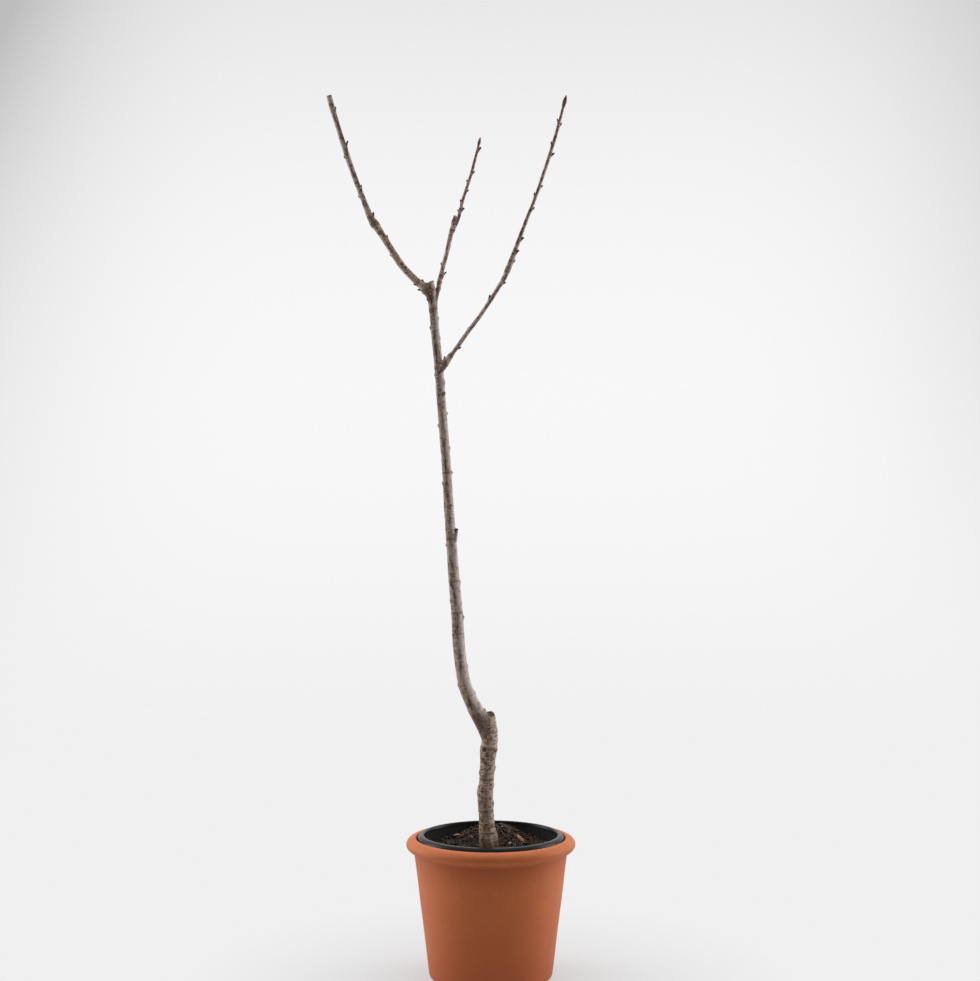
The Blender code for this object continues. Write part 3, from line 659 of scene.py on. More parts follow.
def peat_finish(name, dark, middle, pale):
    """Damp crumbly matter: three browns in small patches, quite rough."""
    finish, shader = new_finish(name, 0.85)
    shader.inputs["Specular IOR Level"].default_value = 0.15
    place = add_node(finish, "TexCoord").outputs["Object"]
    patch = blotches(finish, place, 5 * MM, 4.0)
    fleck = blotches(finish, place, 2.2 * MM, 3.0)
    colour = blend(finish, spread(finish, patch, 0.38, 0.6), dark, middle)
    colour = blend(finish, spread(finish, fleck, 0.605, 0.65, 0.0, 0.95), colour, pale)
    plug(finish, shader.inputs["Base Color"], colour)
    plug(finish, shader.inputs["Roughness"], spread(finish, patch, 0.3, 0.7, 0.62, 0.95))
    plug(finish, shader.inputs["Normal"], raised(finish, fleck, 0.4 * MM))
    return finish


peat = peat_finish("peat", PEAT_DARK, PEAT, PEAT_PALE)
chip_brown = peat_finish("bark_chip", (0.028, 0.017, 0.011), (0.080, 0.048, 0.028), (0.17, 0.11, 0.07))
thread_brown = peat_finish("root_thread", (0.05, 0.03, 0.018), (0.16, 0.10, 0.06), (0.28, 0.19, 0.12))
tan_wood = peat_finish("tan_wood", (0.20, 0.10, 0.045), (0.36, 0.19, 0.09), (0.50, 0.31, 0.17))
white_grain = peat_finish("perlite", (0.42, 0.33, 0.29), (0.60, 0.50, 0.45), (0.75, 0.68, 0.62))
leaf_green = peat_finish("green_leaf", (0.16, 0.17, 0.08), (0.27, 0.28, 0.14), (0.38, 0.38, 0.22))

# %% Compost body
SOIL_RINGS = 88
SOIL_SEGMENTS = 320
SOIL_FOOT_INSET = 3 * MM


def soil_body():
    """The compost as one closed solid with a crumbly top."""
    turns = np.linspace(0.0, math.tau, SOIL_SEGMENTS, endpoint=False)
    edge = soil_edge(SOIL_LOW_LEVEL)
    points = [(0.0, 0.0, fine_height(0.0, 0.0))]
    for ring in range(1, SOIL_RINGS + 1):
        radius = edge * ring / SOIL_RINGS
        for turn in turns:
            x, y = radius * math.cos(turn), radius * math.sin(turn)
            z = fine_height(x, y)
            if ring == SOIL_RINGS:
                reach = soil_edge(z) / radius
                x, y = x * reach, y * reach
            points.append((x, y, z))
    for turn in turns:
        radius = nursery_wall_radius(SOIL_FOOT) - SOIL_FOOT_INSET
        points.append((radius * math.cos(turn), radius * math.sin(turn), SOIL_FOOT))
    points.append((0.0, 0.0, SOIL_FOOT))
    faces = grid_faces(SOIL_RINGS + 1, SOIL_SEGMENTS, 1).tolist()
    last = 1 + SOIL_RINGS * SOIL_SEGMENTS
    for k in range(SOIL_SEGMENTS):
        after = (k + 1) % SOIL_SEGMENTS
        faces.append((0, 1 + k, 1 + after))
        faces.append((last + after, last + k, len(points) - 1))
    faces = [face if len(face) == 3 else face[::-1] for face in faces]
    return points, faces


soil_points, soil_faces = soil_body()
new_piece("compost", soil_points, soil_faces, peat, ["soil"])


# %% Lumps
def lump(seed, subdivisions, roughness):
    """One knobbly pebble of about unit size: its points and its triangles."""
    ball = bmesh.new()
    bmesh.ops.create_icosphere(ball, subdivisions=subdivisions, radius=1.0)
    points = np.array([corner.co[:] for corner in ball.verts])
    faces = np.array([[corner.index for corner in face.verts] for face in ball.faces])
    ball.free()
    points *= (1.0 + roughness * grain(points + seed * 7.3, 0.8))[:, None]
    return points, faces


def scatter(rule, count, shapes, dealer):
    """Many small things joined in one mesh: rule gives each one's place, turn and scale."""
    points, faces, start = [], [], 0
    while len(points) < count:
        dealt = rule(dealer)
        if dealt is None:
            continue
        place, turn, scale = dealt
        shape, sides = dealer.choice(shapes)
        matrix = np.array(Euler(turn).to_matrix())
        points.append((shape * scale) @ matrix.T + place)
        faces.append(sides + start)
        start += len(shape)
    return np.vstack(points), np.vstack(faces)


# %% Rules for crumbs and chips
# Size of the smallest ones, and how much larger the largest are.
CRUMB_SIZES = (0.7 * MM, 2.6 * MM)
CHIP_SIZES = (1.6 * MM, 4.2 * MM)


def on_compost(dealer, margin, trunk_margin=15 * MM):
    """A random place on the compost, clear of the trunk and of the pot's wall."""
    radius = (nursery_wall_radius(SOIL_LOW_LEVEL) - margin) * math.sqrt(dealer.random())
    turn = dealer.uniform(0.0, math.tau)
    if radius < trunk_margin:
        return None
    x, y = radius * math.cos(turn), radius * math.sin(turn)
    return x, y, fine_height(x, y)


def crumb_rule(dealer):
    """A crumb, mostly small, sunk a little."""
    size = CRUMB_SIZES[0] + CRUMB_SIZES[1] * dealer.random() ** 3
    place = on_compost(dealer, size + 0.5 * MM)
    if place is None:
        return None
    turn = [dealer.uniform(0.0, math.tau) for _ in range(3)]
    scale = [size * dealer.uniform(0.6, 1.2) for _ in range(3)]
    return np.array(place) + (0, 0, 0.3 * size), turn, scale


def chip_rule(dealer):
    """A flat chip of bark, tilted as it fell."""
    size = CHIP_SIZES[0] + CHIP_SIZES[1] * dealer.random() ** 2
    place = on_compost(dealer, size + 1 * MM, 18 * MM)
    if place is None:
        return None
    turn = (dealer.gauss(0.0, 0.45), dealer.gauss(0.0, 0.45), dealer.uniform(0.0, math.tau))
    scale = [size, size * dealer.uniform(0.35, 0.6), size * dealer.uniform(0.12, 0.28)]
    return np.array(place) + (0, 0, 0.25 * size), turn, scale


# %% Crumbs and chips
CRUMB_COUNT = 1700
CHIP_COUNT = 420
PEBBLE_ROUGHNESS = 0.35
SHARD_ROUGHNESS = 0.6

pebbles = [lump(seed, 2, PEBBLE_ROUGHNESS) for seed in range(10)]
shards = [lump(seed, 2, SHARD_ROUGHNESS) for seed in range(20, 28)]
crumb_points, crumb_faces = scatter(crumb_rule, CRUMB_COUNT, pebbles, random.Random(5))
new_piece("compost_crumbs", crumb_points, crumb_faces, peat)
chip_points, chip_faces = scatter(chip_rule, CHIP_COUNT, shards, random.Random(6))
new_piece("bark_chips", chip_points, chip_faces, chip_brown)

# %% [markdown]
# A few single bits stand out in the photo: a tan splinter of wood right of the trunk, two
# white grains of perlite, a bit of green leaf and a pale chip on the left. Each is given in
# millimetres and laid on the compost at that place. The others lie where the picture doesn't
# look, so that the pot is as rich from behind.


# %% Single bits
def single_bits(name, bits, shapes, finish):
    """A few small things laid one by one: x, y, turn and tilt in degrees, and three half sizes."""
    points, faces, start = [], [], 0
    for number, (x, y, turn, tilt, sizes) in enumerate(bits):
        shape, sides = shapes[number % len(shapes)]
        matrix = np.array(Euler((0.0, math.radians(tilt), math.radians(turn))).to_matrix())
        place = (x * MM, y * MM, fine_height(x * MM, y * MM) + sizes[2] * MM + 0.8 * MM)
        points.append((shape * np.array(sizes) * MM) @ matrix.T + place)
        faces.append(sides + start)
        start += len(shape)
    new_piece(name, np.vstack(points), np.vstack(faces), finish)


WOOD_BITS = [
    (45, 34, 122, -20, (9.5, 3.8, 1.8)),
    (-42, 60, 10, -6, (4.5, 1.6, 0.8)),
    (38, -52, 30, 8, (6, 2, 1)),
]
PERLITE_BITS = [
    (28.7, 22, 20, 0, (2.4, 1.8, 1.6)),
    (-29.6, 41, 70, 0, (0.9, 0.8, 0.8)),
    (-51, 72, 8, 0, (6.0, 1.4, 1.1)),
    (-30, -48, 0, 0, (1.8, 1.6, 1.2)),
    (58, -20, 0, 0, (1.6, 1.4, 1.1)),
    (-62, 14, 0, 0, (1.7, 1.3, 1.2)),
]
LEAF_BITS = [(36, 18, 15, 14, (4.0, 1.3, 0.4)), (-20, -58, 60, 10, (4.2, 1.6, 0.3))]
single_bits("wood_splinters", WOOD_BITS, shards, tan_wood)
single_bits("perlite_grains", PERLITE_BITS, pebbles, white_grain)
single_bits("leaf_bits", LEAF_BITS, shards, leaf_green)


# %% Root threads
THREAD_COUNT = 260
THREAD_STEPS = 8
THREAD_REACH = 92 * MM
# Shortest and longest, thinnest and thickest, in millimetres.
THREAD_LENGTHS = (5, 19)
THREAD_RADII = (0.16, 0.42)
THREAD_LIFT = 0.9 * MM


def tube_along(places, radii, sides):
    """Points and faces of a thin closed tube through a few places."""
    places = np.asarray(places, float)
    ways = np.gradient(places, axis=0)
    ways /= np.linalg.norm(ways, axis=1, keepdims=True)
    side = np.cross(ways, (0.3, 0.1, 1.0))
    side /= np.linalg.norm(side, axis=1, keepdims=True)
    up = np.cross(ways, side)
    turns = np.linspace(0.0, math.tau, sides, endpoint=False)
    out = side[:, None] * np.cos(turns)[:, None] + up[:, None] * np.sin(turns)[:, None]
    points = places[:, None] + out * np.asarray(radii)[:, None, None]
    faces = grid_faces(len(places), sides).tolist()
    faces.append(list(range(sides))[::-1])
    faces.append([(len(places) - 1) * sides + k for k in range(sides)])
    return points.reshape(-1, 3), faces


def root_threads(count, dealer):
    """Thin curved threads of root and fibre that lie on the compost."""
    points, faces, start = [], [], 0
    while len(points) < count:
        spot = on_compost(dealer, 14 * MM, 24 * MM)
        if spot is None:
            continue
        heading, bend = dealer.uniform(0.0, math.tau), dealer.gauss(0.0, 0.16)
        length, rise = dealer.uniform(*THREAD_LENGTHS) * MM, abs(dealer.gauss(0.0, 1.4)) * MM
        x, y, route = spot[0], spot[1], []
        for k in range(THREAD_STEPS + 1):
            arch = rise * math.sin(math.pi * (k / THREAD_STEPS))
            route.append((x, y, fine_height(x, y) + THREAD_LIFT + arch))
            x += math.cos(heading) * length / THREAD_STEPS
            y += math.sin(heading) * length / THREAD_STEPS
            heading += bend
        if max(math.hypot(*place[:2]) for place in route) > THREAD_REACH:
            continue
        thick = dealer.uniform(*THREAD_RADII) * MM
        radii = [thick * (1.1 - 0.6 * k / THREAD_STEPS) for k in range(THREAD_STEPS + 1)]
        made, sides = tube_along(route, radii, 5)
        points.append(made)
        faces += [[corner + start for corner in face] for face in sides]
        start += len(made)
    return np.vstack(points), faces


thread_points, thread_faces = root_threads(THREAD_COUNT, random.Random(7))
new_piece("root_threads", thread_points, thread_faces, thread_brown)

# %% [markdown]
# ## Limbs from stations
#
# Each limb is a list of stations: a place on its centre line and its thickness there. A smooth
# curve runs through them. The same stations shape the plain solids, so the bark made here lies
# on them. The line is read every millimetre, and any point on it is found by its distance
# along the limb.

# %% Stations of the trunk
# A station is x, y, height above the ground and diameter, in millimetres.
ROOTSTOCK = (
    (-4.6, 0.0, 176, 24.6),
    (-4.6, 0.0, 196, 24.4),
    (-5.2, -0.5, 214, 23.8),
    (-6.5, -1.0, 237, 22.2),
    (-8.2, -1.8, 267, 22.6),
    (-6.2, -2.3, 292, 21.4),
    (-4.7, -2.8, 316, 22.0),
    (-3.8, -2.8, 332, 24.2),
    (-0.9, -2.5, 350, 21.0),
    (-0.8, -2.4, 362, 20.8),
    (-0.9, -2.2, 374, 18.0),
    (-0.6, -2.0, 384, 14.6),
    (-0.2, -1.8, 391, 11.8),
    (0.0, -1.6, 402, 10.4),
)
STEM = (
    (-2.4, -2.6, 338, 15.0),
    (-3.6, -2.5, 352, 16.4),
    (-8.8, -2.3, 366, 21.2),
    (-23.3, -1.8, 396, 22.2),
    (-32.4, -1.0, 414, 19.6),
    (-39.2, 0.0, 434, 19.0),
    (-43.7, 0.9, 458, 18.2),
    (-47.2, 2.0, 488, 18.0),
    (-50.4, 4.2, 540, 17.2),
    (-54.9, 5.2, 591, 16.3),
    (-58.5, 5.4, 644, 15.2),
    (-62.0, 5.6, 689, 14.5),
    (-65.4, 5.8, 748, 13.6),
    (-69.6, 5.2, 802, 13.6),
    (-74.2, 3.8, 860, 13.1),
    (-77.3, 2.8, 903, 12.9),
    (-82.7, 1.5, 956, 12.6),
    (-84.5, 0.8, 980, 12.3),
    (-87.4, 0.4, 1000, 11.8),
    (-88.4, 0.0, 1015, 12.2),
    (-89.6, 0.0, 1036, 8.0),
)

# %% Stations of the left limb
BOUGH_LEFT = (
    (-88.6, 0.0, 1010, 15.0),
    (-97.2, -1.8, 1018, 14.2),
    (-104.5, -3.6, 1024, 10.8),
    (-115.9, -5.7, 1034, 10.5),
    (-132.4, -10.9, 1052, 10.5),
    (-148.9, -18.2, 1077, 9.4),
    (-160.4, -23.1, 1095, 9.7),
    (-170.6, -27.6, 1110, 12.7),
)
SHOOT_LEFT = (
    (-169.4, -27.0, 1107, 12.2),
    (-176.0, -29.6, 1118, 9.6),
    (-186.7, -36.4, 1145, 8.0),
    (-199.3, -44.8, 1178, 7.8),
    (-210.8, -53.1, 1212, 8.0),
    (-221.1, -61.5, 1245, 7.2),
    (-228.9, -68.2, 1271, 8.0),
    (-233.4, -72.4, 1289, 7.6),
)

# %% Stations of the middle limb
BOUGH_MIDDLE = (
    (-84.4, 0.0, 990, 7.6),
    (-81.5, 2.6, 1006, 7.6),
    (-77.8, 5.7, 1019, 7.0),
    (-76.0, 8.9, 1031, 7.0),
    (-74.2, 10.4, 1036, 7.6),
    (-72.5, 13.5, 1046, 6.2),
    (-67.9, 18.9, 1065, 6.6),
    (-63.6, 24.4, 1084, 6.8),
    (-59.9, 29.8, 1102, 7.0),
    (-56.8, 32.5, 1112, 8.6),
    (-55.3, 34.0, 1120, 7.0),
    (-53.5, 36.0, 1131, 5.4),
)
SHOOT_MIDDLE = (
    (-55.4, 33.5, 1113, 4.8),
    (-51.4, 35.6, 1120, 4.8),
    (-48.4, 39.0, 1129, 4.6),
    (-46.0, 43.0, 1140, 5.2),
    (-41.6, 51.0, 1160, 4.7),
    (-30.2, 68.3, 1199, 4.5),
    (-20.8, 85.6, 1239, 4.0),
    (-18.0, 91.0, 1252, 3.5),
)

# %% Stations of the right limb
BOUGH_RIGHT = (
    (-78.0, 0.0, 893, 9.0),
    (-71.0, -1.6, 902, 10.2),
    (-65.3, -3.2, 910, 10.4),
    (-60.3, -4.5, 917, 8.2),
    (-54.6, -5.7, 924, 6.2),
    (-38.7, -9.1, 946, 6.4),
    (-12.5, -14.4, 981, 6.1),
    (10.6, -19.6, 1016, 6.4),
    (20.3, -22.1, 1032, 7.0),
    (25.1, -23.8, 1043, 8.4),
)
SHOOT_RIGHT = (
    (23.4, -23.2, 1039, 8.2),
    (31.3, -25.8, 1059, 7.6),
    (37.7, -28.1, 1076, 6.3),
    (50.9, -32.5, 1111, 5.3),
    (64.6, -36.9, 1145, 5.0),
    (87.7, -45.8, 1213, 5.1),
    (97.8, -50.3, 1247, 4.8),
    (102.3, -52.5, 1264, 4.1),
    (106.4, -54.6, 1280, 3.8),
)


# %% Centre lines
def smooth_path(stations, step):
    """Places and radii along a smooth curve through the stations."""
    places = [Vector(station[:3]) * MM for station in stations]
    radii = [0.5 * station[3] * MM for station in stations]
    along = [0.0]
    for before, after in zip(places, places[1:]):
        along.append(along[-1] + (after - before).length)
    last = len(places) - 1
    tangents = []
    for i in range(last + 1):
        low, high = max(i - 1, 0), min(i + 1, last)
        tangents.append((places[high] - places[low]) / (along[high] - along[low]))
    path = []
    for i in range(last):
        span = along[i + 1] - along[i]
        count = max(1, round(span / step))
        for k in range(count):
            t = k / count
            place = places[i] * (2 * t**3 - 3 * t**2 + 1) + places[i + 1] * (3 * t**2 - 2 * t**3)
            place += tangents[i] * span * (t**3 - 2 * t**2 + t)
            place += tangents[i + 1] * span * (t**3 - t**2)
            ease = t * t * (3 - 2 * t)
            path.append((place, radii[i] + (radii[i + 1] - radii[i]) * ease))
    path.append((places[last], radii[last]))
    return path


def centre_line(stations, bright_side=0.0, shift=0.0):
    """A limb's centre line: places, ways, radii, distance along it and the turn of its bright side."""
    path = smooth_path(stations, 1 * MM)
    places = np.array([place[:] for place, radius in path])
    radii = np.array([radius for place, radius in path])
    ways = np.gradient(places, axis=0)
    ways /= np.linalg.norm(ways, axis=1, keepdims=True)
    steps = np.linalg.norm(np.diff(places, axis=0), axis=1)
    along = np.concatenate(([0.0], np.cumsum(steps)))
    line = {"places": places, "ways": ways, "radii": radii, "along": along}
    line["bright_side"], line["shift"] = math.radians(bright_side), shift
    return line


def read_line(line, key, along):
    """A centre line's places, ways or radii at distances along it."""
    values = line[key]
    if values.ndim == 1:
        return np.interp(along, line["along"], values)
    columns = [np.interp(along, line["along"], values[:, k]) for k in range(3)]
    return np.stack(columns, axis=-1)


def along_at(line, height):
    """Distance along a limb where it passes a height in millimetres."""
    return float(np.interp(height * MM, line["places"][:, 2], line["along"]))


# Each limb's stations, and the turn in degrees that its bright side faces. That side is where
# the limb catches the most light, so its whole silvery skin is partly a painted highlight.
LIMBS = {
    "rootstock": (ROOTSTOCK, -50), "stem": (STEM, -45),
    "bough_left": (BOUGH_LEFT, 235), "shoot_left": (SHOOT_LEFT, 245),
    "bough_middle": (BOUGH_MIDDLE, 10), "shoot_middle": (SHOOT_MIDDLE, 60),
    "bough_right": (BOUGH_RIGHT, 220), "shoot_right": (SHOOT_RIGHT, -45),
}
# Patterns start this many metres further on for each limb, so no two limbs look alike.
PATTERN_SHIFT = 0.7
LINES = {}
for number, (limb, (stations, bright_side)) in enumerate(LIMBS.items()):
    LINES[limb] = centre_line(stations, bright_side, PATTERN_SHIFT * number)
for limb, line in LINES.items():
    print(limb, round(line["along"][-1] / MM), "mm long")


# %% [markdown]
# ## Skin round a centre line
#
# The bark is a grid of points: rings along the limb, and sides round it. Turn 0 faces the
# viewer's right and turn 90 the back. Each point also remembers where it would lie on the
# stick if the stick were straight, so that patterns follow every bend. There its first
# direction points to the limb's bright side, which carries a painted highlight. A limb that was
# sawn off ends on a plane: each column of points is cut where it meets that plane.


# %% Skin of a limb
# A saw cut is looked for in this last stretch, and the rings slide to it over a shorter one.
CUT_SEARCH = 45 * MM
CUT_SLIDE = 40 * MM


def way_out(ways, turns):
    """The way out of a limb at its turns, square to its direction."""
    side = np.array((1.0, 0.0, 0.0)) - ways * ways[..., :1]
    side /= np.linalg.norm(side, axis=-1, keepdims=True)
    front = np.cross(ways, side)
    return side * np.cos(turns)[..., None] + front * np.sin(turns)[..., None]


def skin_at(line, along, turns):
    """Points on a limb's smooth surface, and the ways out there."""
    out = way_out(read_line(line, "ways", along), turns)
    radii = read_line(line, "radii", along)
    return read_line(line, "places", along) + out * radii[..., None], out


def cut_columns(line, turns, start, place, normal):
    """How far along each column of points reaches before a saw cut."""
    low = np.full(len(turns), start)
    high = np.full(len(turns), line["along"][-1])
    for _ in range(24):
        middle = 0.5 * (low + high)
        past = (skin_at(line, middle, turns)[0] - place) @ normal > 0.0
        high, low = np.where(past, middle, high), np.where(past, low, middle)
    return low


def wrap(line, start, step, sides, cut=None):
    """A limb's skin as a grid of points, with its place on the straight stick."""
    end = line["along"][-1]
    rings = max(4, round((end - start) / step))
    turns = np.linspace(0.0, math.tau, sides, endpoint=False)
    share = np.linspace(0.0, 1.0, rings)[:, None]
    stop = np.full(sides, end)
    if cut is not None:
        place, normal = np.array(cut[0]) * MM, np.array(cut[1]) / np.linalg.norm(cut[1])
        stop = cut_columns(line, turns, max(start, end - CUT_SEARCH), place, normal)
    length = end - start
    near_end = np.clip((share * length - (length - CUT_SLIDE)) / CUT_SLIDE, 0.0, 1.0)
    along = start + share * length + near_end * (stop - end)
    round_turns = np.broadcast_to(turns, along.shape)
    points, out = skin_at(line, along, round_turns)
    radii = read_line(line, "radii", along)
    bright_side = round_turns - line["bright_side"]
    bent = along + line["shift"]
    stick = np.stack([radii * np.cos(bright_side), radii * np.sin(bright_side), bent], axis=-1)
    return {"points": points, "out": out, "stick": stick, "along": along, "turns": round_turns}


# %% [markdown]
# ## Growing limbs together
#
# Where two limbs meet, wood fills the crotch with a smooth fillet. Two tubes pushed through
# each other would show a hard crease instead. So every point near another limb is moved out to
# the surface that a rounded union of the two would have, and the points that fall on the other
# limb's side are sunk just under it.


# %% Fillets
# Only points this near another limb's box are looked at, in batches that fit in memory.
NEIGHBOUR_MARGIN = 30 * MM
BATCH = 4000
# Points deeper than this inside the other limb stay where they are.
DEEPEST = 2.5 * MM
# Points on the other limb's side are sunk under its surface by up to half of this.
SINK = 1.6 * MM
FILLET_ROUNDS = 5


def outside(points, line):
    """How far points lie outside a limb's smooth surface, and the way out of it."""
    centres, radii = line["places"][::2], line["radii"][::2]
    offset = points[:, None] - centres[None]
    distance = np.linalg.norm(offset, axis=2)
    nearest = np.argmin(distance - radii, axis=1)
    rows = np.arange(len(points))
    found = distance[rows, nearest]
    return found - radii[nearest], offset[rows, nearest] / np.maximum(found, 1e-6)[:, None]


def grow_together(skin, own, other, fillet):
    """Move a skin's points near another limb to the rounded union of the two."""
    points = skin["points"].reshape(-1, 3)
    low = other["places"].min(0) - NEIGHBOUR_MARGIN
    high = other["places"].max(0) + NEIGHBOUR_MARGIN
    near = np.all((points > low) & (points < high), axis=1).nonzero()[0]
    for first in range(0, len(near), BATCH):
        chosen = near[first : first + BATCH]
        moved = points[chosen]
        gap = outside(moved, other)[0]
        movers = (gap > -DEEPEST) & (gap < fillet)
        chosen, moved = chosen[movers], moved[movers]
        for _ in range(FILLET_ROUNDS):
            if not len(moved):
                break
            mine, my_way = outside(moved, own)
            theirs, their_way = outside(moved, other)
            overlap = np.maximum(fillet - np.abs(mine - theirs), 0.0)
            surface = np.minimum(mine, theirs) - overlap**2 / (4 * fillet)
            share = overlap / (2 * fillet)
            share = np.where(mine < theirs, share, 1.0 - share)[:, None]
            way = my_way * (1.0 - share) + their_way * share
            sunk = -0.5 * np.clip(mine - theirs, 0.0, SINK)
            moved = moved - way * (surface - sunk)[:, None]
        points[chosen] = moved
    skin["points"] = points.reshape(skin["points"].shape)


# %% [markdown]
# ## Bark relief
#
# Cherry bark is smooth and banded. Short corky pores lie across it like dashes, fine wrinkles
# run round it, and old buds leave swellings. A ring of close wrinkles marks where each year's
# growth began. All of it is real relief here: pores and wrinkles are a few tenths of a
# millimetre high, and old buds a few millimetres. The same rules leave a mark at each point, so
# that the finish can colour pores and scars.


# %% Relief rules
# How close the ripples of a ring are: radians of wave in its half width.
RIPPLES = 7.5


def wrinkles(skin, around, along_size, height):
    """Fine wrinkles that run round the limb."""
    return height * grain(skin["stick"] / np.array((around, around, along_size)), 1.0)


def turn_gap(turns, turn):
    """Angle between turns, from -pi to pi."""
    return (turns - turn + math.pi) % math.tau - math.pi


def pores(skin, count, half_length, half_height, height, dealer):
    """Corky pores across the bark: their relief, and a mark where they are."""
    relief = np.zeros(skin["along"].shape)
    mark = np.zeros(skin["along"].shape)
    middle = skin["along"].mean(axis=1)
    radius = np.linalg.norm(skin["stick"][..., :2], axis=-1)
    for _ in range(count):
        place = dealer.uniform(middle[0], middle[-1])
        turn = dealer.uniform(-math.pi, math.pi)
        size = dealer.uniform(0.45, 1.0)
        tall = half_height * dealer.uniform(0.7, 1.2)
        first, last = np.searchsorted(middle, (place - 3 * tall, place + 3 * tall))
        if last <= first:
            continue
        rows = slice(first, last)
        across = turn_gap(skin["turns"][rows], turn) * radius[rows] / (half_length * size)
        up = (skin["along"][rows] - place) / tall
        inside = np.maximum(1.0 - across**2 - up**2, 0.0)
        relief[rows] = np.maximum(relief[rows], height * np.sqrt(inside))
        mark[rows] = np.maximum(mark[rows], np.minimum(1.6 * inside, 1.0))
    return relief, mark


def ring_scars(skin, line, rings):
    """Close ripples where a year's growth began: relief, dark marks and a pale line."""
    relief = np.zeros(skin["along"].shape)
    mark = np.zeros(skin["along"].shape)
    pale = np.zeros(skin["along"].shape)
    for height, half_width, depth in rings:
        place = along_at(line, height)
        sway = 0.35 * abs(half_width) * MM * grain(skin["stick"] + (0.5, 0.0, 0.0), 7 * MM)
        up = (skin["along"] - place + sway) / (half_width * MM)
        window = np.exp(-(up**2) * 1.6)
        relief += depth * MM * window * (0.55 + 0.45 * np.cos(up * RIPPLES))
        mark = np.maximum(mark, window * (0.75 + 0.25 * np.cos(up * RIPPLES + 2.0)))
        pale = np.maximum(pale, np.exp(-(((up - 1.1) / 0.4) ** 2)))
    return relief, mark, pale


def swellings(skin, line, bumps):
    """Old buds healed over, each steeper above its crest than below it.

    A bump is its height, its turn, how far it stands out and its radius.
    """
    relief = np.zeros(skin["along"].shape)
    radius = np.linalg.norm(skin["stick"][..., :2], axis=-1)
    for height, turn, stand_out, size in bumps:
        up = skin["along"] - along_at(line, height)
        across = turn_gap(skin["turns"], math.radians(turn)) * radius
        far = (up**2 * np.where(up > 0.0, 1.6, 0.7) + across**2) / (size * MM * 1.15) ** 2
        relief += stand_out * MM * 0.62 * np.exp(-far)
    return relief


# %% Layers of bark
def bark_layers(skin, line, rings, folds, pore_kind, crack_kind, dealer):
    """Wrinkles, pores, cracks and rings on one skin: relief, pore mark and scar mark.

    Each fold is one set of wrinkles. Cracks are dealt like pores, but they only darken the bark.
    """
    relief = sum(wrinkles(skin, *fold) for fold in folds)
    pore_relief, pore_mark = pores(skin, *pore_kind, dealer)
    crack_mark = pores(skin, *crack_kind, dealer)[1]
    scar_relief, scar_mark, pale_mark = ring_scars(skin, line, rings)
    relief += pore_relief + scar_relief
    return relief, np.maximum(pore_mark, pale_mark), np.maximum(scar_mark, crack_mark)


# %% [markdown]
# Where many buds crowded together, the bark stays knobbly and dark. That is so below the fork,
# under the left bough, in the crotch of the right one and at the tip of the middle one. Each
# such place is a soft ball: the skin inside it gets coarser relief and a dark mark.

# %% Knobbly places
# Place and radius of each, in millimetres.
BUD_CLUSTERS = (
    ((-89.0, -6.0, 1003.0), 6.5),
    ((-98.5, -6.0, 1011.0), 5.0),
    ((-69.5, -6.0, 907.5), 6.0),
    ((-56.0, 32.0, 1124.0), 6.5),
)
CLUSTER_RELIEF = 1.1 * MM


def knobs(skin):
    """How knobbly and dark the bark is within such a place, from 0.2 to 1."""
    return np.clip(0.9 + 1.3 * grain(skin["stick"], 3 * MM), 0.2, 1.0)


def clusters(skin):
    """Crowded old buds: their relief, and a mark where they are."""
    mark = np.zeros(skin["along"].shape)
    for place, radius in BUD_CLUSTERS:
        away = np.linalg.norm(skin["points"] - np.array(place) * MM, axis=-1) / (radius * MM)
        mark = np.maximum(mark, 1.0 / (1.0 + np.exp((away - 1.0) * 6.0)))
    relief = CLUSTER_RELIEF * mark * (0.3 + grain(skin["stick"] + (0.0, 0.7, 0.0), 2.4 * MM))
    return relief, mark * knobs(skin)


# %% [markdown]
# ## From skin to mesh
#
# The relief pushes each point out along its way. The ends are closed with rings that shrink to
# the centre: a sawn end gets a rolled lip of callus, bare wood inside it and a small hollow at
# the pith, and a hidden end is simply flat.

# %% Closing the ends
# Each ring is its share of the end's radius, and its lift as a share of the lip's size.
CALLUS = ((0.96, 0.35), (0.90, 0.55), (0.82, 0.45), (0.76, 0.05), (0.72, -0.35))
BARE_WOOD = ((0.6, -0.45), (0.45, -0.4), (0.3, -0.5), (0.18, -0.75), (0.08, -1.1))
FLAT_END = ((0.8, 0.0), (0.5, 0.0), (0.2, 0.0))
SMALL_LIP = 0.35 * MM


def end_rings(ring, stick, sawn, scale):
    """Rings that close an end, with their places on the stick and their marks."""
    centre = ring.mean(axis=0)
    spokes = ring - centre
    normal = np.cross(spokes, np.roll(spokes, -1, axis=0)).sum(axis=0)
    normal /= np.linalg.norm(normal)
    rings, sticks, marks = [], [], []
    for share, lift in (CALLUS + BARE_WOOD if sawn else FLAT_END):
        rings.append(centre + spokes * share + normal * lift * scale)
        sticks.append(stick * (share, share, 1.0) + (0.0, 0.0, lift * scale))
        wood = 1.0 if sawn and share < 0.8 else 0.0
        rim = 1.0 if sawn and not wood else 0.0
        marks.append(np.tile((rim, 0.0, wood), (len(ring), 1)))
    return rings, sticks, marks


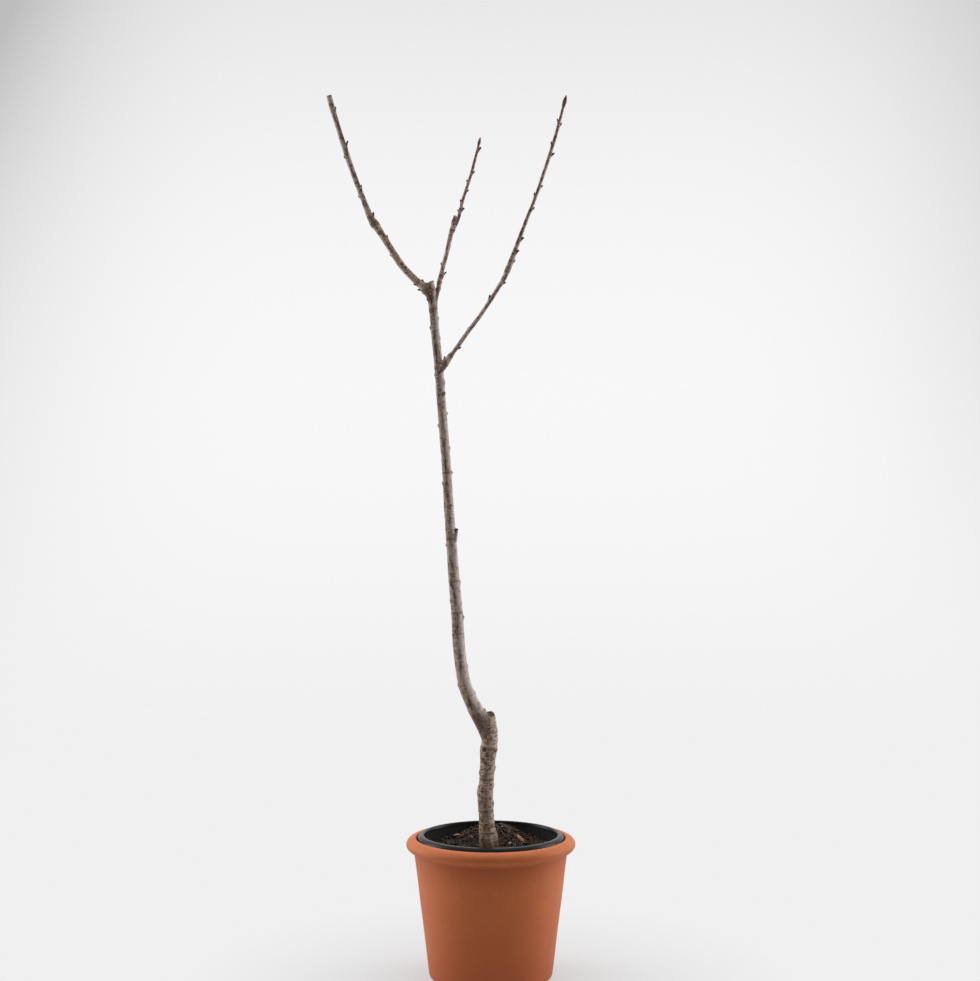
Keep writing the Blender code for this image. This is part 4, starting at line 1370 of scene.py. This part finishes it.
def close_skin(skin, relief, marks, sawn=False, lip=SMALL_LIP):
    """Points, faces, stick places and marks of a limb with a flat foot and a closed end."""
    points = skin["points"] + skin["out"] * relief[..., None]
    foot = end_rings(points[0][::-1], skin["stick"][0][::-1], False, lip)
    end = end_rings(points[-1], skin["stick"][-1], sawn, lip)
    rings = [ring[::-1] for ring in foot[0][::-1]] + list(points) + end[0]
    sticks = [ring[::-1] for ring in foot[1][::-1]] + list(skin["stick"]) + end[1]
    dots = foot[2][::-1] + list(marks) + end[2]
    sides = points.shape[1]
    faces = grid_faces(len(rings), sides).tolist()
    faces.append(list(range(sides))[::-1])
    faces.append([(len(rings) - 1) * sides + k for k in range(sides)])
    flat = [np.concatenate(values) for values in (rings, sticks, dots)]
    return {"points": flat[0], "faces": faces, "stick": flat[1], "marks": flat[2]}


def bark_piece(name, parts, finish, stands_for=()):
    """Join closed parts into one piece, with what its finish reads."""
    faces, start = [], 0
    for part in parts:
        faces += [[corner + start for corner in face] for face in part["faces"]]
        start += len(part["points"])
    points = np.vstack([part["points"] for part in parts])
    piece = new_piece(name, points, faces, finish, stands_for)
    for field in ("stick", "marks"):
        mark_points(piece, field, np.vstack([part[field] for part in parts]))


# %% [markdown]
# ## Bark finish
#
# The bark's colour has layers: dark brown below, a lighter brown in streaks along the limb, and
# a thin silvery skin over both. The skin is whole on each limb's bright side, which is told
# with its centre line, and worn to patches elsewhere. That side is where the limb catches the
# most light, so the silvery skin is the bark's own, but its whole side is also a painted
# highlight. Pores are tan and cork-like, ring scars are red-brown, and sawn wood is grey-brown.
# One function makes every bark of this tree from its colours, because only the amounts change
# from the rootstock to the young shoots. The rootstock's bark is old and spotty. The stem's is
# sleek, with long patches and few spots.


# %% Bark finishes
CRACK = (0.060, 0.038, 0.028)
WOOD_DARK = (0.040, 0.029, 0.022)
WOOD_PALE = (0.115, 0.088, 0.066)


def bright_side_share(finish, stick):
    """How far a place on a limb faces its bright side, from 0 to 1."""
    level = add_node(finish, "VectorMath", {"operation": "MULTIPLY"}, Vector=stick)
    plug(finish, level.inputs[1], (1.0, 1.0, 0.0))
    out = add_node(finish, "VectorMath", {"operation": "NORMALIZE"}, Vector=level.outputs["Vector"])
    facing = add_node(finish, "VectorMath", {"operation": "DOT_PRODUCT"})
    plug(finish, facing.inputs[0], out.outputs["Vector"])
    plug(finish, facing.inputs[1], (1.0, 0.0, 0.0))
    return spread(finish, facing.outputs["Value"], 0.66, 0.94)


def bark_finish(name, browns, silver, silver_share, bright_side, pore, scar, roughness, spotty, sleek):
    """Layered bark that reads the stick places and marks of its piece.

    It is as spotty as told, from 0 to 1, and its patches are sleek times as long as wide.
    Streaks run along the limb, bands run round it, and flecks and specks are small spots.
    """
    finish, shader = new_finish(name, roughness)
    stick = add_node(finish, "Attribute", {"attribute_name": "stick"}).outputs["Vector"]
    marked = add_node(finish, "Attribute", {"attribute_name": "marks"}).outputs["Vector"]
    split_marks = add_node(finish, "SeparateXYZ", Vector=marked)
    shader.inputs["Specular IOR Level"].default_value = 0.2
    streaks = blotches(finish, stick, 3.4 * MM, 4.0, (1.0, 1.0, 4.0))
    bands = blotches(finish, stick, 2.8 * MM, 3.0, (2.5, 2.5, 0.9))
    patches = blotches(finish, stick, 7 * MM, 4.0, (0.8, 0.8, 0.8 * sleek))
    flecks = blotches(finish, stick, 5.6 * MM, 4.0, (1.3, 1.3, 0.9))
    specks = blotches(finish, stick, 0.8 * MM, 2.0)
    colour = blend(finish, spread(finish, streaks, 0.46, 0.54), *browns)
    veil = times(finish, spread(finish, patches, 0.47, 0.54), spread(finish, bands, 0.42, 0.50))
    worn = spread(finish, veil, 0.0, 1.0, 0.0, silver_share)
    colour = blend(finish, worn, colour, silver)
    # Painted highlight: the silvery skin stays whole on each limb's bright side.
    edge = spread(finish, streaks, 0.30, 0.52, 0.45, 1.0)
    whole = times(finish, bright_side_share(finish, stick), edge)
    colour = blend(finish, times(finish, whole, bright_side), colour, silver)
    colour = blend(finish, spread(finish, flecks, 0.56, 0.61, 0.0, 0.65 * spotty), colour, silver)
    colour = blend(finish, spread(finish, flecks, 0.43, 0.37, 0.0, 0.85 * spotty), colour, CRACK)
    colour = blend(finish, spread(finish, specks, 0.62, 0.74, 0.0, 0.5), colour, browns[0])
    colour = blend(finish, times(finish, split_marks.outputs["X"], 0.75), colour, pore)
    colour = blend(finish, times(finish, split_marks.outputs["Y"], 0.85), colour, scar)
    wood = blend(finish, spread(finish, streaks, 0.4, 0.6), WOOD_DARK, WOOD_PALE)
    colour = blend(finish, split_marks.outputs["Z"], colour, wood)
    plug(finish, shader.inputs["Base Color"], colour)
    shine = spread(finish, patches, 0.3, 0.7, roughness - 0.08, roughness + 0.12)
    plug(finish, shader.inputs["Roughness"], shine)
    fine = raised(finish, bands, 0.2 * MM)
    plug(finish, shader.inputs["Normal"], raised(finish, specks, 0.08 * MM, fine))
    return finish


stem_bark = bark_finish(
    "stem_bark", browns=((0.100, 0.064, 0.046), (0.35, 0.240, 0.181)),
    silver=(0.57, 0.475, 0.428), silver_share=0.5, bright_side=0.95,
    pore=(0.42, 0.31, 0.235), scar=(0.100, 0.044, 0.028), roughness=0.6, spotty=0.45, sleek=6.0,
)
rootstock_bark = bark_finish(
    "rootstock_bark", browns=((0.100, 0.060, 0.036), (0.34, 0.225, 0.150)),
    silver=(0.57, 0.435, 0.355), silver_share=0.5, bright_side=0.8,
    pore=(0.50, 0.37, 0.25), scar=(0.10, 0.055, 0.034), roughness=0.68, spotty=1.0, sleek=2.0,
)
bough_bark = bark_finish(
    "bough_bark", browns=((0.175, 0.106, 0.068), (0.50, 0.335, 0.222)),
    silver=(0.62, 0.505, 0.425), silver_share=0.5, bright_side=0.85,
    pore=(0.50, 0.38, 0.28), scar=(0.110, 0.045, 0.029), roughness=0.58, spotty=0.6, sleek=5.0,
)
grey_bough_bark = bark_finish(
    "grey_bough_bark", browns=((0.205, 0.136, 0.104), (0.56, 0.42, 0.33)),
    silver=(0.64, 0.55, 0.50), silver_share=0.5, bright_side=0.9,
    pore=(0.50, 0.39, 0.31), scar=(0.110, 0.047, 0.033), roughness=0.58, spotty=0.5, sleek=6.0,
)
shoot_bark = bark_finish(
    "shoot_bark", browns=((0.120, 0.066, 0.050), (0.34, 0.214, 0.165)),
    silver=(0.60, 0.50, 0.445), silver_share=0.45, bright_side=0.9,
    pore=(0.50, 0.38, 0.30), scar=(0.130, 0.055, 0.040), roughness=0.54, spotty=0.8, sleek=4.0,
)
print("barks:", [bark.name for bark in bpy.data.materials if bark.name.endswith("_bark")])

# %% [markdown]
# ## The trunk
#
# The trunk is two plants. The rootstock comes out of the soil and was sawn off above the graft.
# The stem grows from its side, bends away and then runs up straight. Each is wrapped in its own
# skin, and the two are grown together at the graft.

# %% What shows on the trunk
# A saw cut is a place in millimetres and the way that the cut faces.
GRAFT_CUT = ((0.2, -2.0, 387.5), (0.08, -0.55, 0.83))
TOP_CUT = ((-88.5, 0.0, 1028), (-0.42, -0.28, 0.86))
# The skins start at these heights, hidden in the compost and in the rootstock.
ROOTSTOCK_FOOT = 185
STEM_FOOT = 340
# Height and turn, then how far it stands out and its radius, in millimetres.
STEM_BUMPS = (
    (1002, 182, 2.6, 1.9),
    (974, 5, 2.6, 2.4),
    (961, 178, 2.8, 2.2),
    (944, -12, 2.2, 2.2),
    (923, 95, 2.4, 2.4),
    (891, 185, 2.2, 2.0),
    (880, -8, 3.0, 4.2),
    (833, 8, 3.6, 2.0),
    (816, 172, 3.4, 2.0),
    (782, -5, 2.2, 2.6),
    (764, 110, 2.6, 2.4),
    (730, 182, 2.6, 2.2),
    (711, 60, 2.4, 2.6),
    (639, 176, 2.8, 2.4),
    (611, 80, 2.6, 3.0),
    (582, 12, 2.0, 3.4),
    (557, 184, 1.6, 3.0),
    (458, 0, 2.4, 3.4),
    (433, 190, 2.4, 3.0),
    (416, 2, 2.8, 3.6),
    (389, -8, 4.0, 2.6),
)
ROOTSTOCK_BUMPS = (
    (310, 4, 2.8, 3.2),
    (302, 178, 2.2, 3.0),
    (284, 2, 1.8, 4.0),
    (274, 186, 2.4, 6.0),
    (256, -6, 2.4, 4.0),
    (247, 100, 2.2, 5.0),
    (366, 188, 3.0, 4.6),
    (338, -30, 2.4, 3.4),
)
# Height, half width and depth of each ring, in millimetres. The pale line lies above the
# ring, or below it where the half width is negative.
STEM_RINGS = (
    (1017, 5.0, 0.5), (986, -5.0, 0.6), (899, 5.0, 0.5), (745, 2.0, 0.3), (695, 1.4, 0.3),
    (647, 4.0, 0.3), (584, 1.4, 0.35), (537, 2.6, 0.35), (506, 1.4, 0.35),
)
ROOTSTOCK_RINGS = (
    (362, 2.2, 0.25), (338, 3.2, 0.7), (292, 2.2, 0.25), (246, 2.4, 0.3), (226, 2.2, 0.35),
    (213, 1.8, 0.3), (205, 2.2, 0.4),
)
# Turn in degrees, and how many millimetres that root's shoulder stands out.
ROOT_SHOULDERS = ((-8, 5.0), (70, 2.0), (150, 0.8), (215, 0.8), (285, 2.5))
SHOULDER_TOP = 200.0 * MM
SHOULDER_FADE = 14.0 * MM
# The stem's bark is old and dark from here down to the graft.
OLD_WOOD_TOP = 400.0 * MM
OLD_WOOD_FADE = 25.0 * MM
# Damp soil has stained the bark up to about here.
STAIN_TOP = 216.0 * MM
STAIN_FADE = 24.0 * MM
STAIN_SWAY = 16.0 * MM
# Place and radius, in millimetres.
KNOT_HOLE = ((-9.0, -13.6, 336.5), 3.7)
# From one ring of points to the next.
TRUNK_STEP = 0.85 * MM
# How many pores, then half length, half height and relief. Each plant has its own number of
# cracks, which have no relief.
TRUNK_PORES = (520, 3.0 * MM, 0.8 * MM, 0.35 * MM)
TRUNK_CRACKS = (2.8 * MM, 0.85 * MM, 0.0)


# %% Trunk skins
def root_flare(skin):
    """The shoulders of the roots at the soil."""
    above = np.maximum(skin["points"][..., 2] - SHOULDER_TOP, 0.0) / SHOULDER_FADE
    relief = np.zeros(skin["along"].shape)
    for turn, stand_out in ROOT_SHOULDERS:
        across = turn_gap(skin["turns"], math.radians(turn)) / 0.42
        relief += stand_out * MM * 0.8 * np.exp(-(across**2) - above**2)
    return relief


def knot_hole(skin):
    """A small round hole left by a twig, with a raised ring of callus: relief and marks."""
    place, radius = np.array(KNOT_HOLE[0]) * MM, KNOT_HOLE[1] * MM
    away = np.linalg.norm(skin["points"] - place, axis=-1) / radius
    ring = np.exp(-(((away - 1.25) / 0.32) ** 2))
    hollow = 1.0 / (1.0 + np.exp((away - 0.8) * 9.0))
    return (0.9 * ring - 2.2 * hollow) * MM, ring, hollow


def trunk_part(limb, foot, cut, sides, joins, bumps, rings, cracks, seed, wrinkle):
    """One of the trunk's two plants, with its relief and marks."""
    line = LINES[limb]
    skin = wrap(line, along_at(line, foot), TRUNK_STEP, sides, cut)
    for other, fillet in joins:
        grow_together(skin, line, LINES[other], fillet)
    folds = ((9 * MM, 1.6 * MM, wrinkle), (5 * MM, 14 * MM, 1.6 * wrinkle))
    layers = bark_layers(
        skin, line, rings, folds, TRUNK_PORES, (cracks, *TRUNK_CRACKS), random.Random(seed)
    )
    relief, pore_mark, scar_mark = layers
    relief += swellings(skin, line, bumps)
    cut_mark = np.zeros(relief.shape)
    if limb == "stem":
        crotch = np.clip((OLD_WOOD_TOP - skin["points"][..., 2]) / OLD_WOOD_FADE, 0.0, 0.8)
        cluster_relief, cluster_mark = clusters(skin)
        relief += cluster_relief
        scar_mark = np.maximum(scar_mark, np.maximum(crotch, cluster_mark))
    if limb == "rootstock":
        hole_relief, hole_ring, cut_mark = knot_hole(skin)
        relief += root_flare(skin) + hole_relief
        pore_mark = np.maximum(pore_mark, hole_ring)
        stain_top = STAIN_TOP + STAIN_SWAY * grain(skin["stick"], 6 * MM)
        stain = np.clip((stain_top - skin["points"][..., 2]) / STAIN_FADE, 0.0, 1.0)
        scar_mark = np.maximum(scar_mark, stain)
    marks = np.stack([pore_mark, scar_mark, cut_mark], axis=-1)
    return skin, relief, marks


# %% Rootstock and stem
# How wide the fillets are where limbs have grown together.
GRAFT_FILLET = 9 * MM
BOUGH_FILLETS = {"bough_left": 5 * MM, "bough_middle": 4 * MM, "bough_right": 2 * MM}

grown_rootstock = trunk_part(
    "rootstock", ROOTSTOCK_FOOT, GRAFT_CUT, sides=72, joins=[("stem", GRAFT_FILLET)],
    bumps=ROOTSTOCK_BUMPS, rings=ROOTSTOCK_RINGS, cracks=620, seed=31, wrinkle=0.22 * MM,
)
grown_stem = trunk_part(
    "stem", STEM_FOOT, TOP_CUT, sides=56, joins=[("rootstock", GRAFT_FILLET), *BOUGH_FILLETS.items()],
    bumps=STEM_BUMPS, rings=STEM_RINGS, cracks=330, seed=32, wrinkle=0.14 * MM,
)
rootstock_part = close_skin(*grown_rootstock, sawn=True, lip=1.0 * MM)
stem_part = close_skin(*grown_stem, sawn=True, lip=0.6 * MM)
bark_piece("rootstock", [rootstock_part], rootstock_bark, ["trunk"])
bark_piece("stem", [stem_part], stem_bark)

# %% [markdown]
# ## Snags on the stem
#
# Side twigs were pruned close to the stem, and each left a short snag with a round end. It is a
# little limb of its own with a fillet at its foot.

# %% Snags
# Height and turn, tilt from the stem, then length and radius in millimetres.
SNAGS = (
    (649, -14, 16, 13.0, 2.6),
    (530, 6, 54, 3.0, 2.8),
    (744, 20, 54, 3.6, 2.2),
    (694, -70, 54, 3.2, 2.4),
    (504, 228, 54, 2.0, 2.2),
    (472, 120, 54, 4.6, 3.0),
    (861, -40, 54, 3.0, 2.3),
)
# Share of the length and of the radius at each station.
SNAG_SHAPE = ((-0.5, 1.5), (0.2, 1.25), (0.6, 1.0), (1.0, 0.95))
SNAG_STEP = 0.4 * MM
SNAG_SIDES = 28
SNAG_FILLET = 2.5 * MM
# What grows out of a limb starts this share of the limb's radius from its centre line.
BUD_SINK = 0.82


def grown_line(foot, heading, length, radius, shape):
    """The centre line of something small that grows from its foot along a heading."""
    stations = []
    for share, width in shape:
        place = (foot + heading * length * share) / MM
        stations.append((*place, 2 * radius * width / MM))
    return centre_line(stations)


def outgrowth_line(parent, height, turn, tilt, length, radius, shape):
    """The centre line of something that leans out of a limb."""
    along = along_at(parent, height)
    way = read_line(parent, "ways", np.array(along))
    out = way_out(way, np.array(math.radians(turn)))
    lean = math.radians(tilt)
    heading = out * math.sin(lean) + way * math.cos(lean)
    radius_there = read_line(parent, "radii", np.array(along))
    foot = read_line(parent, "places", np.array(along)) + out * radius_there * BUD_SINK
    return grown_line(foot, heading, length, radius, shape)


snag_parts = []
for height, turn, tilt, length, radius in SNAGS:
    line = outgrowth_line(LINES["stem"], height, turn, tilt, length * MM, radius * MM, SNAG_SHAPE)
    skin = wrap(line, 0.0, SNAG_STEP, SNAG_SIDES)
    grow_together(skin, line, LINES["stem"], SNAG_FILLET)
    relief = wrinkles(skin, 2.5 * MM, 1.2 * MM, 0.2 * MM)
    no_marks = np.zeros((*relief.shape, 3))
    snag_parts.append(close_skin(skin, relief, no_marks, sawn=True))
bark_piece("stem_snags", snag_parts, stem_bark)

# %% [markdown]
# ## Buds
#
# A cherry bud is a small pointed egg of overlapping brown scales. It leans out of the twig
# above the scar of its leaf. Short fruiting spurs are stubby and ringed, with a bud at the end.
# The rule that deals them is the same one that shapes the plain model, with the same seeds, so
# every bud stands where the plain one does. Here each has its scales.

# %% Places of the buds
# Height in millimetres and turn in degrees.
BUDS = {
    "bough_left": (
        (1087, 10), (1076, 260), (1065, 165), (1052, 110), (1040, 255), (1022, 12),
        (1019, 185), (1026, 200), (1014, 190),
    ),
    "bough_middle": (
        (1093, 100), (1077, 262), (1054, 172), (1040, 8), (1025, 60),
    ),
    "bough_right": (
        (1024, 350), (999, 190), (990, 80), (972, 265), (953, 120), (930, 350), (910, 170),
    ),
    "shoot_left": (
        (1117, 10), (1135, 255), (1147, 175), (1159, 5), (1182, 275), (1192, 95),
        (1202, 178), (1217, 0), (1238, 130), (1255, 268), (1267, 20), (1277, 110),
    ),
    "shoot_middle": (
        (1138, 185), (1141, 10), (1154, 180), (1166, 290), (1172, 0),
        (1187, 175), (1202, 5), (1214, 260), (1226, 110), (1239, 350),
    ),
    "shoot_right": (
        (1054, 10), (1063, 90), (1067, 330), (1086, 350), (1105, 90), (1121, 250),
        (1130, 0), (1148, 180), (1161, 10), (1180, 265), (1195, 100), (1206, 5),
        (1221, 178), (1240, 280), (1249, 20), (1253, 150), (1266, 95),
    ),
}
BUD_SEEDS = {
    "bough_left": 11, "bough_middle": 12, "bough_right": 13,
    "shoot_left": 21, "shoot_middle": 22, "shoot_right": 23,
}
BUD_LENGTH = 5.2 * MM
BUD_RADIUS = 1.45 * MM
SPUR_LENGTH = 7.5 * MM
SPUR_RADIUS = 1.6 * MM
SPUR_CHANCE = 0.25
# Length and radius of the large bud at each shoot's tip.
TERMINAL_BUDS = {
    "shoot_middle": (12.8 * MM, 2.4 * MM),
    "shoot_right": (14.0 * MM, 3.0 * MM),
}
TERMINAL_BUD_SINK = 2.0 * MM
BUD_TILT = 25.0
BUD_TILT_SPREAD = (-5.0, 9.0)
# How many scales follow one another from the foot to the tip.
BUD_SCALES = 4.5
SPUR_SCALES = 7.0
TERMINAL_SCALES = 6.0
# How high a scale's edge stands, as a share of the bud's radius.
SCALE_RELIEF = 0.16
BUD_RINGS = 26
BUD_SIDES = 16
TERMINAL_STEP = 0.35 * MM
TERMINAL_SIDES = 20
BUD_SHAPE = ((-0.45, 0.5), (-0.1, 0.85), (0.3, 1.0), (0.6, 0.8), (0.85, 0.42), (1.0, 0.1))
SPUR_SHAPE = ((-0.35, 1.15), (0.1, 0.95), (0.5, 0.85), (0.7, 1.05), (0.88, 0.6), (1.0, 0.12))


# %% Growing buds
def scaly(skin, radius, scales):
    """Relief and marks of overlapping scales on a bud."""
    length = skin["along"][-1, 0] - skin["along"][0, 0]
    share = (skin["along"] - skin["along"][0, 0]) / length
    phase = (share * scales + 2.0 * skin["turns"] / math.tau) % 1.0
    relief = radius * SCALE_RELIEF * (phase - 0.5) * np.sin(math.pi * np.clip(share, 0.0, 1.0))
    marks = np.zeros((*relief.shape, 3))
    marks[..., 0] = np.clip((phase - 0.78) * 2.0, 0.0, 0.35)
    marks[..., 1] = np.clip(1.3 - phase, 0.0, 1.0)
    return relief, marks


def grow_bud(parent, height, turn, tilt, length, radius, shape, scales):
    """One bud or spur as a closed part."""
    line = outgrowth_line(parent, height, turn, tilt, length, radius, shape)
    skin = wrap(line, 0.0, length / BUD_RINGS, BUD_SIDES)
    relief, marks = scaly(skin, radius, scales)
    return close_skin(skin, relief, marks)


def grow_buds(limb):
    """All buds of a limb, dealt by its seeded rule."""
    dealer = random.Random(BUD_SEEDS[limb])
    grown = []
    for height, turn in BUDS[limb]:
        spur = dealer.random() < SPUR_CHANCE
        length = (SPUR_LENGTH if spur else BUD_LENGTH) * dealer.uniform(0.85, 1.15)
        radius = (SPUR_RADIUS if spur else BUD_RADIUS) * dealer.uniform(0.9, 1.15)
        tilt = BUD_TILT + dealer.uniform(*BUD_TILT_SPREAD)
        shape = SPUR_SHAPE if spur else BUD_SHAPE
        scales = SPUR_SCALES if spur else BUD_SCALES
        grown.append(grow_bud(LINES[limb], height, turn, tilt, length, radius, shape, scales))
    return grown


def terminal_bud(limb):
    """The large bud that ends a shoot."""
    line = LINES[limb]
    length, radius = TERMINAL_BUDS[limb]
    way = line["ways"][-1]
    foot = line["places"][-1] - way * TERMINAL_BUD_SINK
    grown = grown_line(foot, way, length, radius, BUD_SHAPE)
    skin = wrap(grown, 0.0, TERMINAL_STEP, TERMINAL_SIDES)
    relief, marks = scaly(skin, radius, TERMINAL_SCALES)
    return close_skin(skin, relief, marks)


# %% [markdown]
# ## Boughs and shoots
#
# The three boughs are older wood, still smooth, with a wrinkled collar where they leave the
# stem. Last summer's shoots grow on from their tips. Each starts with a ring of scars from the
# winter bud that it came out of, and has pale round pores and a bud every one or two
# centimetres.

# %% Bark of boughs and shoots
# Height, half width and depth of each ring, in millimetres.
BOUGH_RINGS = {
    "bough_left": ((1016, 5.0, 0.7), (1027, 3.0, 0.4), (1098, 3.5, 0.45), (1108, 2.5, 0.5)),
    "bough_middle": ((1018, 3.0, 0.4), (1028, 3.2, 0.5), (1037, 3.2, 0.4), (1108, 3.5, 0.5)),
    "bough_right": ((906, 6.0, 0.9), (918, 2.4, 0.5), (1031, 1.6, 0.4), (1040, 1.6, 0.5)),
}
SHOOT_RINGS = {
    "shoot_left": ((1112, 3.5, 0.4), (1119, 2.5, 0.3)),
    "shoot_middle": ((1118, 2.0, 0.25), (1132, 3.5, 0.35), (1142, 2.5, 0.3)),
    "shoot_right": ((1046, 1.4, 0.35), (1056, 1.6, 0.3), (1066, 1.4, 0.3)),
}
# The saw cut at the left shoot's tip.
TIP_CUT = ((-233.6, -72.0, 1287), (-0.25, -0.2, 0.95))
# A collar reaches this far from the other limb, and its edge is this soft.
COLLAR_WIDTH = 7.0 * MM
COLLAR_FADE = 1.2 * MM
# How dark each collar is: one shoot grew on with hardly a seam.
COLLAR_SHARE = {"shoot_right": 0.25}
# Each set of wrinkles is a size round the limb, a size along it and a height.
LIMB_FOLDS = ((6 * MM, 1.3 * MM, 0.10 * MM), (4 * MM, 11 * MM, 0.22 * MM))
LIMB_PORE_COUNT = 130
# Half height and relief of the pores. Cracks are half length, half height and no relief.
LIMB_PORES = (0.6 * MM, 0.18 * MM)
LIMB_CRACKS = (2.0 * MM, 0.85 * MM, 0.0)
# Each bud sits on a small cushion: how far below it, how far it stands out and its radius.
CUSHION = (1.2, 0.7, 1.7)
# A limb's bark is dealt with the seed of its buds plus this.
BARK_SEED_STEP = 40


def collar(skin, other):
    """Marks of the dark knobbly bark where a limb comes out of another one."""
    gap = outside(skin["points"].reshape(-1, 3), LINES[other])[0].reshape(skin["along"].shape)
    return knobs(skin) / (1.0 + np.exp((gap - COLLAR_WIDTH) / COLLAR_FADE))


def limb_part(limb, other, fillet, rings, step, sides, pore_half, cut=None, sawn=False):
    """The bark of a bough or a shoot, grown together with the limb that carries it."""
    line = LINES[limb]
    skin = wrap(line, 0.0, step, sides, cut)
    grow_together(skin, line, LINES[other], fillet)
    pore_kind = (LIMB_PORE_COUNT, pore_half, *LIMB_PORES)
    crack_kind = (LIMB_PORE_COUNT, *LIMB_CRACKS)
    dealer = random.Random(BUD_SEEDS[limb] + BARK_SEED_STEP)
    layers = bark_layers(skin, line, rings, LIMB_FOLDS, pore_kind, crack_kind, dealer)
    relief, pore_mark, scar_mark = layers
    cluster_relief, cluster_mark = clusters(skin)
    dark = collar(skin, other) * COLLAR_SHARE.get(limb, 1.0)
    scar_mark = np.maximum(scar_mark, np.maximum(dark, cluster_mark))
    below, stand_out, size = CUSHION
    cushions = [(height - below, turn, stand_out, size) for height, turn in BUDS[limb]]
    relief += cluster_relief + swellings(skin, line, cushions)
    marks = np.stack([pore_mark, scar_mark, np.zeros(relief.shape)], axis=-1)
    return close_skin(skin, relief, marks, sawn)


# %% Boughs
BOUGH_BARKS = {
    "bough_left": bough_bark, "bough_middle": grey_bough_bark, "bough_right": grey_bough_bark,
}
for limb, bark in BOUGH_BARKS.items():
    part = limb_part(
        limb, "stem", BOUGH_FILLETS[limb], BOUGH_RINGS[limb],
        step=0.7 * MM, sides=44, pore_half=1.9 * MM, sawn=limb == "bough_middle",
    )
    bark_piece(limb + "_bark", [part], bark, [limb])
    bark_piece(limb + "_buds", grow_buds(limb), shoot_bark)

# %% Shoots
# The bough that carries each shoot, and the fillet between them.
SHOOT_JOINS = {
    "shoot_left": ("bough_left", 1.5 * MM),
    "shoot_middle": ("bough_middle", 2.5 * MM),
    "shoot_right": ("bough_right", 1.5 * MM),
}
for limb, (bough, fillet) in SHOOT_JOINS.items():
    cut = TIP_CUT if limb == "shoot_left" else None
    part = limb_part(
        limb, bough, fillet, SHOOT_RINGS[limb],
        step=0.6 * MM, sides=32, pore_half=0.9 * MM, cut=cut, sawn=cut is not None,
    )
    bark_piece(limb + "_bark", [part], shoot_bark, [limb])
    grown = grow_buds(limb)
    if limb in TERMINAL_BUDS:
        grown.append(terminal_bud(limb))
    bark_piece(limb + "_buds", grown, shoot_bark)
